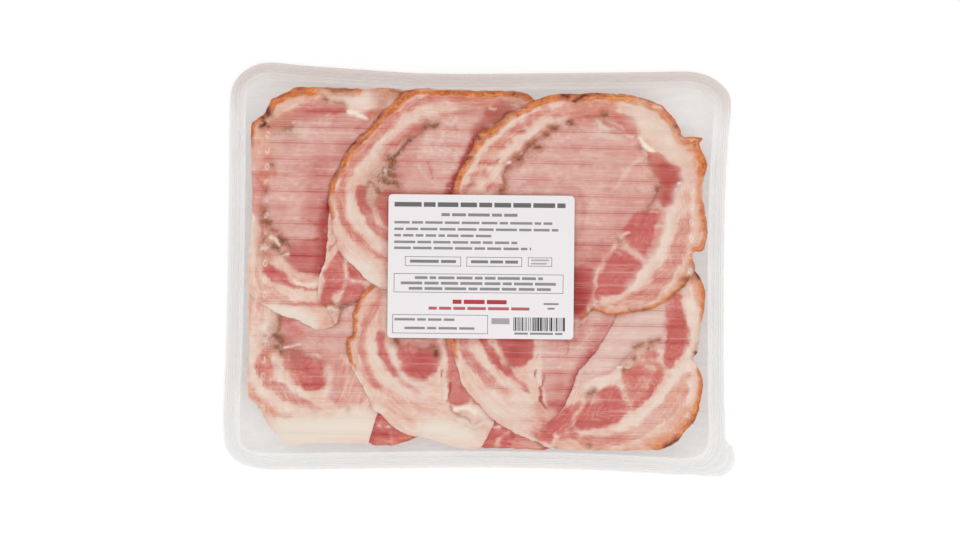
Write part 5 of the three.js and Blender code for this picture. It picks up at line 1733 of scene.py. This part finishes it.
def porchetta_material():
    material, tree, shader = new_material("roast_pork")
    layers = use_group(tree, EDGE_LAYERS, Across=0.42, Along=0.05)["Mask"]
    fine_layers = use_group(tree, EDGE_LAYERS, Across=1.1, Along=0.11)["Mask"]

    def tissue(name, tear=1.0, sharpness=1.3):
        return use_group(tree, TORN_EDGE, Mask=stored(tree, name), Layers=fine_layers, Tear=tear,
                         Sharpness=sharpness)["Mask"]

    def mottled(colour, light, dark, patch, strength):
        return use_group(tree, MOTTLE, Colour=colour, Light=light, Dark=dark, Patch=patch,
                         Strength=strength)["Colour"]

    def streaked(colour, streak, low, high, strength, source=fine_layers):
        return mixed(tree, calc(tree, "MULTIPLY", ranged(tree, source, low, high), strength), colour, streak)

    fat = tissue("fat")
    rind = tissue("rind", 1.2, 1.3)
    colour = mottled(LOIN, LOIN_LIGHT, LOIN_DARK, 0.07, 0.8)
    # Soft pale fibres cross the lean meat, with a few threads of fat
    fibre = noise(tree, add_node(tree, "Mapping", {"Vector": millimetres(tree), "Rotation": (0, 0, 0.6),
                                                   "Scale": (0.09, 0.5, 1)}).outputs["Vector"], 1.0, 4.0, 0.6)
    colour = mixed(tree, calc(tree, "MULTIPLY", ranged(tree, fibre, 0.5, 0.7), 0.5), colour, LOIN_LIGHT)
    vein = noise(tree, millimetres(tree, (0.05, 0.11, 1)), 1.0, 5.0, 0.65)
    vein = ranged(tree, calc(tree, "ABSOLUTE", calc(tree, "SUBTRACT", vein, 0.5)), 0.03, 0.0)
    patch = ranged(tree, noise(tree, millimetres(tree), 0.045, 2.0), 0.45, 0.6)
    colour = mixed(tree, calc(tree, "MULTIPLY", calc(tree, "MULTIPLY", vein, patch), 0.4), colour, PALE)
    muscle = streaked(mottled(MUSCLE, MUSCLE_LIGHT, MUSCLE_DARK, 0.1, 0.9), MUSCLE_LIGHT, 0.48, 0.68, 0.6)
    # Threads and grains of fat in the muscle
    marble = noise(tree, millimetres(tree, (0.4, 0.8, 1)), 0.9, 5.0, 0.72)
    muscle = mixed(tree, calc(tree, "MULTIPLY", ranged(tree, marble, 0.56, 0.68), 0.5), muscle, PINK_LIGHT)
    colour = mixed(tree, tissue("muscle"), colour, muscle)
    pink = streaked(mottled(PINK, PINK_LIGHT, PINK_DARK, 0.16, 1.0), PINK_LIGHT, 0.48, 0.68, 0.8)
    colour = mixed(tree, tissue("pink", 2.2, 1.0), colour, pink)
    cream = streaked(mottled(FAT, FAT_LIGHT, FAT_DARK, 0.09, 0.8), FAT_BLUSH, 0.5, 0.66, 0.4, layers)
    cream = streaked(cream, FAT_LIGHT, 0.5, 0.7, 0.6)
    colour = mixed(tree, fat, colour, cream)
    colour = mixed(tree, calc(tree, "MULTIPLY", stored(tree, "tan"), 0.9), colour,
                   mottled(TAN, PALE, RIND, 0.15, 0.5))
    browned = streaked(mottled(RIND, RIND_LIGHT, RIND_DARK, 0.3, 1.0), RIND_LIGHT, 0.5, 0.62, 0.7)
    freckle = noise(tree, millimetres(tree), 0.9, 4.0, 0.7)
    browned = mixed(tree, calc(tree, "MULTIPLY", ranged(tree, freckle, 0.54, 0.66), 0.7), browned, RIND_DARK)
    browned = mixed(tree, calc(tree, "MULTIPLY", ranged(tree, freckle, 0.44, 0.34), 0.6), browned, RIND_LIGHT)
    # Some stretches of the outer edge are browned more deeply
    edge = ranged(tree, stored(tree, "depth"), 1.8, 0.3)
    stretch = ranged(tree, noise(tree, millimetres(tree), 0.1, 3.0, 0.6), 0.42, 0.6, 0.25, 1.0)
    edge = calc(tree, "MULTIPLY", edge, calc(tree, "MULTIPLY", stretch, 0.6))
    browned = mixed(tree, edge, browned, RIND_EDGE)
    colour = mixed(tree, rind, colour, browned)
    colour = mixed(tree, stored(tree, "pale"), colour, PALE)
    # Darker and damper tissue, with painted shade beside the edges of the slices laid above and round the label
    deep = calc(tree, "MULTIPLY", stored(tree, "deep"), 0.9)
    wet = calc(tree, "MULTIPLY", stored(tree, "wet"), 0.95)
    colour = mixed(tree, deep, colour, DEEP_RED_AND_SHADE)
    colour = mixed(tree, wet, colour, WET_RED_AND_SHADE)
    # Wet lines show strongly on lean meat and hardly on fat and rind
    lean = calc(tree, "SUBTRACT", 1.0, calc(tree, "MAXIMUM", calc(tree, "MULTIPLY", fat, 0.8), rind))
    lean = calc(tree, "MULTIPLY_ADD", calc(tree, "MAXIMUM", deep, wet), 0.55,
                calc(tree, "MULTIPLY", lean, 0.6), clamp=True)
    lines = use_group(tree, CONTACT_LINES, Fine=0.34, Grooves=1.0)
    wet_lines = calc(tree, "MULTIPLY", lines["Wet"], lean)
    # Painted shade: the lean meat is drawn darker near each groove
    shade = calc(tree, "MULTIPLY", calc(tree, "MULTIPLY", lines["Shade"], lean), 0.22)
    colour = mixed(tree, calc(tree, "MAXIMUM", wet_lines, shade), colour,
                   mixed(tree, calc(tree, "MAXIMUM", deep, wet), DEEP_RED_AND_SHADE, WET_RED_AND_SHADE))
    # Painted highlights along the rib crowns
    colour = mixed(tree, calc(tree, "MULTIPLY", lines["Glow"], 0.22), colour, FAT_LIGHT)
    speck = noise(tree, millimetres(tree), 1.1, 5.0, 0.7)
    stain = calc(tree, "MULTIPLY", stored(tree, "stain"), ranged(tree, freckle, 0.36, 0.58, 0.45, 0.95))
    colour = mixed(tree, stain, colour, STAIN)
    flake = noise(tree, millimetres(tree), 1.7, 5.0, 0.75)
    herb = calc(tree, "MULTIPLY", stored(tree, "herb"), ranged(tree, flake, 0.4, 0.54, 0.3, 1.0))
    colour = mixed(tree, herb, colour, mixed(tree, ranged(tree, speck, 0.46, 0.6), HERB, HERB_DARK))
    char = calc(tree, "MULTIPLY", stored(tree, "char"), ranged(tree, speck, 0.26, 0.44))
    colour = mixed(tree, char, colour, CHAR)
    # Painted highlights: small pale glints on the moist surface
    colour = mixed(tree, stored(tree, "bright"), colour, HIGHLIGHT)
    # Painted highlights at the round ends of the ribs
    colour = mixed(tree, use_group(tree, RIB_END_GLINTS, Strength=0.5)["Mask"], colour, HIGHLIGHT)
    grain = noise(tree, millimetres(tree, (0.5, 1.4, 1)), 1.5, 4.0, 0.6)
    gloss = calc(tree, "MULTIPLY_ADD", wet_lines, -0.2, calc(tree, "MULTIPLY_ADD", grain, 0.25, 0.3))
    connect(tree, shader, Base_Color=colour, Roughness=gloss, Normal=bump(tree, grain, 0.12, 0.6))
    set_finish(shader, Specular_IOR_Level=0.15)
    return material


def tray_material():
    material, tree, shader = new_material("tray_plastic")
    inset = stored(tree, "inset")
    rib = stored(tree, "rib")
    rim = ranged(tree, inset, 9.0, 7.6)
    wave = calc(tree, "SINE", calc(tree, "MULTIPLY", inset, 2 * math.pi / 0.95))
    rings = calc(tree, "MULTIPLY", calc(tree, "MULTIPLY", wave, 0.05), rim)
    haze = noise(tree, millimetres(tree, (0.02, 0.3, 1)), 1.0, 3.0, 0.6)
    panel = calc(tree, "MULTIPLY_ADD", haze, 0.01, calc(tree, "MULTIPLY", rib, 0.004))
    facing = add_node(tree, "LayerWeight", {"Blend": 0.35}).outputs["Facing"]
    flange = calc(tree, "MULTIPLY", ranged(tree, inset, 4.7, 3.6), 0.15)
    alpha = calc(tree, "ADD", mixed_value(tree, rim, panel, 0.2), calc(tree, "ADD", rings, flange))
    alpha = calc(tree, "MULTIPLY_ADD", facing, calc(tree, "MULTIPLY_ADD", rim, 0.25, 0.05), alpha, clamp=True)
    # The rim takes a warmer shade from the roast along its upper side
    # Painted shade: the upper side of the rim is drawn darker and pinker grey than the rest
    across = add_node(tree, "SeparateXYZ", {"Vector": millimetres(tree)}).outputs["Y"]
    painted_upper_shade = mixed(tree, ranged(tree, across, 70.0, 96.0), srgb(240, 239, 238), srgb(218, 202, 194))
    # The tray is given a faint glow, painted light that lightens its walls
    shader.inputs["Emission Color"].default_value = (1, 1, 1, 1)
    set_finish(shader, Roughness=0.14, IOR=1.5, Emission_Strength=0.09)
    shader.inputs["Coat Weight"].default_value = 0.4
    ripple = noise(tree, millimetres(tree, (0.05, 0.2, 0.2)), 1.0, 2.0)
    connect(tree, shader, Base_Color=painted_upper_shade, Alpha=alpha, Normal=bump(tree, ripple, 0.25, 0.5))
    return material


def mixed_value(tree, factor, a, b):
    return add_node(tree, "Mix", {0: factor, 2: a, 3: b}).outputs[0]


def film_material():
    material, tree, shader = new_material("sealing_film")
    crease = noise(tree, millimetres(tree, (0.1, 0.3, 0.3)), 1.0, 4.0, 0.6)
    alpha = calc(tree, "MULTIPLY_ADD", crease, 0.1, 0.03)
    # The film is milkier towards its margin, and this pale veil also lightens the shade that falls beside the
    # slices
    margin = ranged(tree, stored(tree, "inset"), 34.0, 22.0)
    alpha = calc(tree, "MULTIPLY_ADD", margin, 0.13, alpha)
    facing = add_node(tree, "LayerWeight", {"Blend": 0.3}).outputs["Facing"]
    alpha = calc(tree, "MULTIPLY_ADD", facing, 0.3, alpha, clamp=True)
    set_finish(shader, Base_Color=srgb(226, 221, 218), Roughness=0.12)
    connect(tree, shader, Alpha=alpha, Normal=bump(tree, crease, 0.3, 0.5))
    return material


def paper_material():
    material, tree, shader = new_material("label_paper")
    fibre = noise(tree, millimetres(tree), 2.2, 5.0, 0.7)
    colour = mixed(tree, fibre, srgb(228, 224, 225), srgb(236, 232, 233))
    rough = calc(tree, "MULTIPLY_ADD", fibre, 0.12, 0.42)
    connect(tree, shader, Base_Color=colour, Roughness=rough, Normal=bump(tree, fibre, 0.02, 0.4))
    return material


def ink_material():
    material, tree, shader = new_material("label_ink")
    grain = noise(tree, millimetres(tree), 3.0, 4.0, 0.7)
    ink = mixed(tree, stored(tree, "red_ink"), srgb(26, 24, 26), srgb(170, 18, 38))
    cover = calc(tree, "MULTIPLY", stored(tree, "ink_depth"), ranged(tree, grain, 0.2, 0.42, 0.85, 1.0))
    colour = mixed(tree, cover, srgb(232, 228, 229), ink)
    connect(tree, shader, Base_Color=colour)
    set_finish(shader, Roughness=0.5, Specular_IOR_Level=0.2)
    return material


def floor_material():
    material, tree, shader = new_material("pale_floor")
    shade = noise(tree, millimetres(tree), 0.01, 2.0)
    connect(tree, shader, Base_Color=mixed(tree, shade, srgb(202, 202, 202), srgb(206, 206, 206)))
    # The table is lit a little from below, which keeps shadows light
    shader.inputs["Emission Color"].default_value = (1, 1, 1, 1)
    set_finish(shader, Roughness=0.9, Emission_Strength=0.4)
    return material

# ---------------------------------------------------------------------------------------------------------
# Camera, light and floor

CAMERA_DISTANCE = 4.0
VIEW_WIDTH = 0.48
VIEW_CENTRE = (-0.00125, -0.00011)
SENSOR = 36.0
CLEAR_LAYERS = 32
# Lights of (name, place, size, power), all aimed at the middle
SOFT_LIGHTS = [("soft_left", (-1.0, 0.7, 1.7), 1.2, 4.5), ("soft_right", (0.9, -0.9, 1.6), 1.1, 6.5)]
SURROUND_LIGHT = 0.86
FLOOR_SIZE = 6
FLOOR_HEIGHT = -0.0003


def set_camera():
    bpy.ops.object.camera_add(location=(*VIEW_CENTRE, CAMERA_DISTANCE), rotation=(0, 0, VIEW_TURN))
    camera = bpy.context.object
    camera.data.sensor_width = SENSOR
    camera.data.lens = SENSOR * (CAMERA_DISTANCE - PANEL_TOP * MM) / VIEW_WIDTH
    bpy.context.scene.camera = camera


def add_area_light(name, place, size, power):
    bpy.ops.object.light_add(type="AREA", location=place)
    light = bpy.context.object
    light.name = name
    light.data.shape = "DISK"
    light.data.size = size
    light.data.energy = power
    light.rotation_euler = (-Vector(place)).to_track_quat("-Z", "Y").to_euler()


def set_stage():
    set_camera()
    for settings in SOFT_LIGHTS:
        add_area_light(*settings)
    world = bpy.data.worlds.new("studio")
    bpy.context.scene.world = world
    world.use_nodes = True
    world.node_tree.nodes["Background"].inputs["Color"].default_value = (1, 1, 1, 1)
    world.node_tree.nodes["Background"].inputs["Strength"].default_value = SURROUND_LIGHT
    deselect_all()
    bpy.ops.mesh.primitive_plane_add(size=FLOOR_SIZE, location=(0, 0, FLOOR_HEIGHT))
    floor = bpy.context.object
    floor.name = "floor"
    floor.data.materials.append(floor_material())
    bpy.context.scene.view_settings.view_transform = "Standard"
    # Light passes both walls of the tray and of the film on its way in and out
    bpy.context.scene.cycles.transparent_max_bounces = CLEAR_LAYERS


# ---------------------------------------------------------------------------------------------------------
# The pack

set_stage()
pork = porchetta_material()
laid_slices = []
for order, (name, settings) in enumerate(SLICES.items()):
    slice_piece(name, settings, pork, FIRST_SEED + SEEDS_APART * order, laid_slices)
tray_piece(tray_material())
film_piece(film_material())
label_piece(paper_material())
label_print_piece(ink_material())
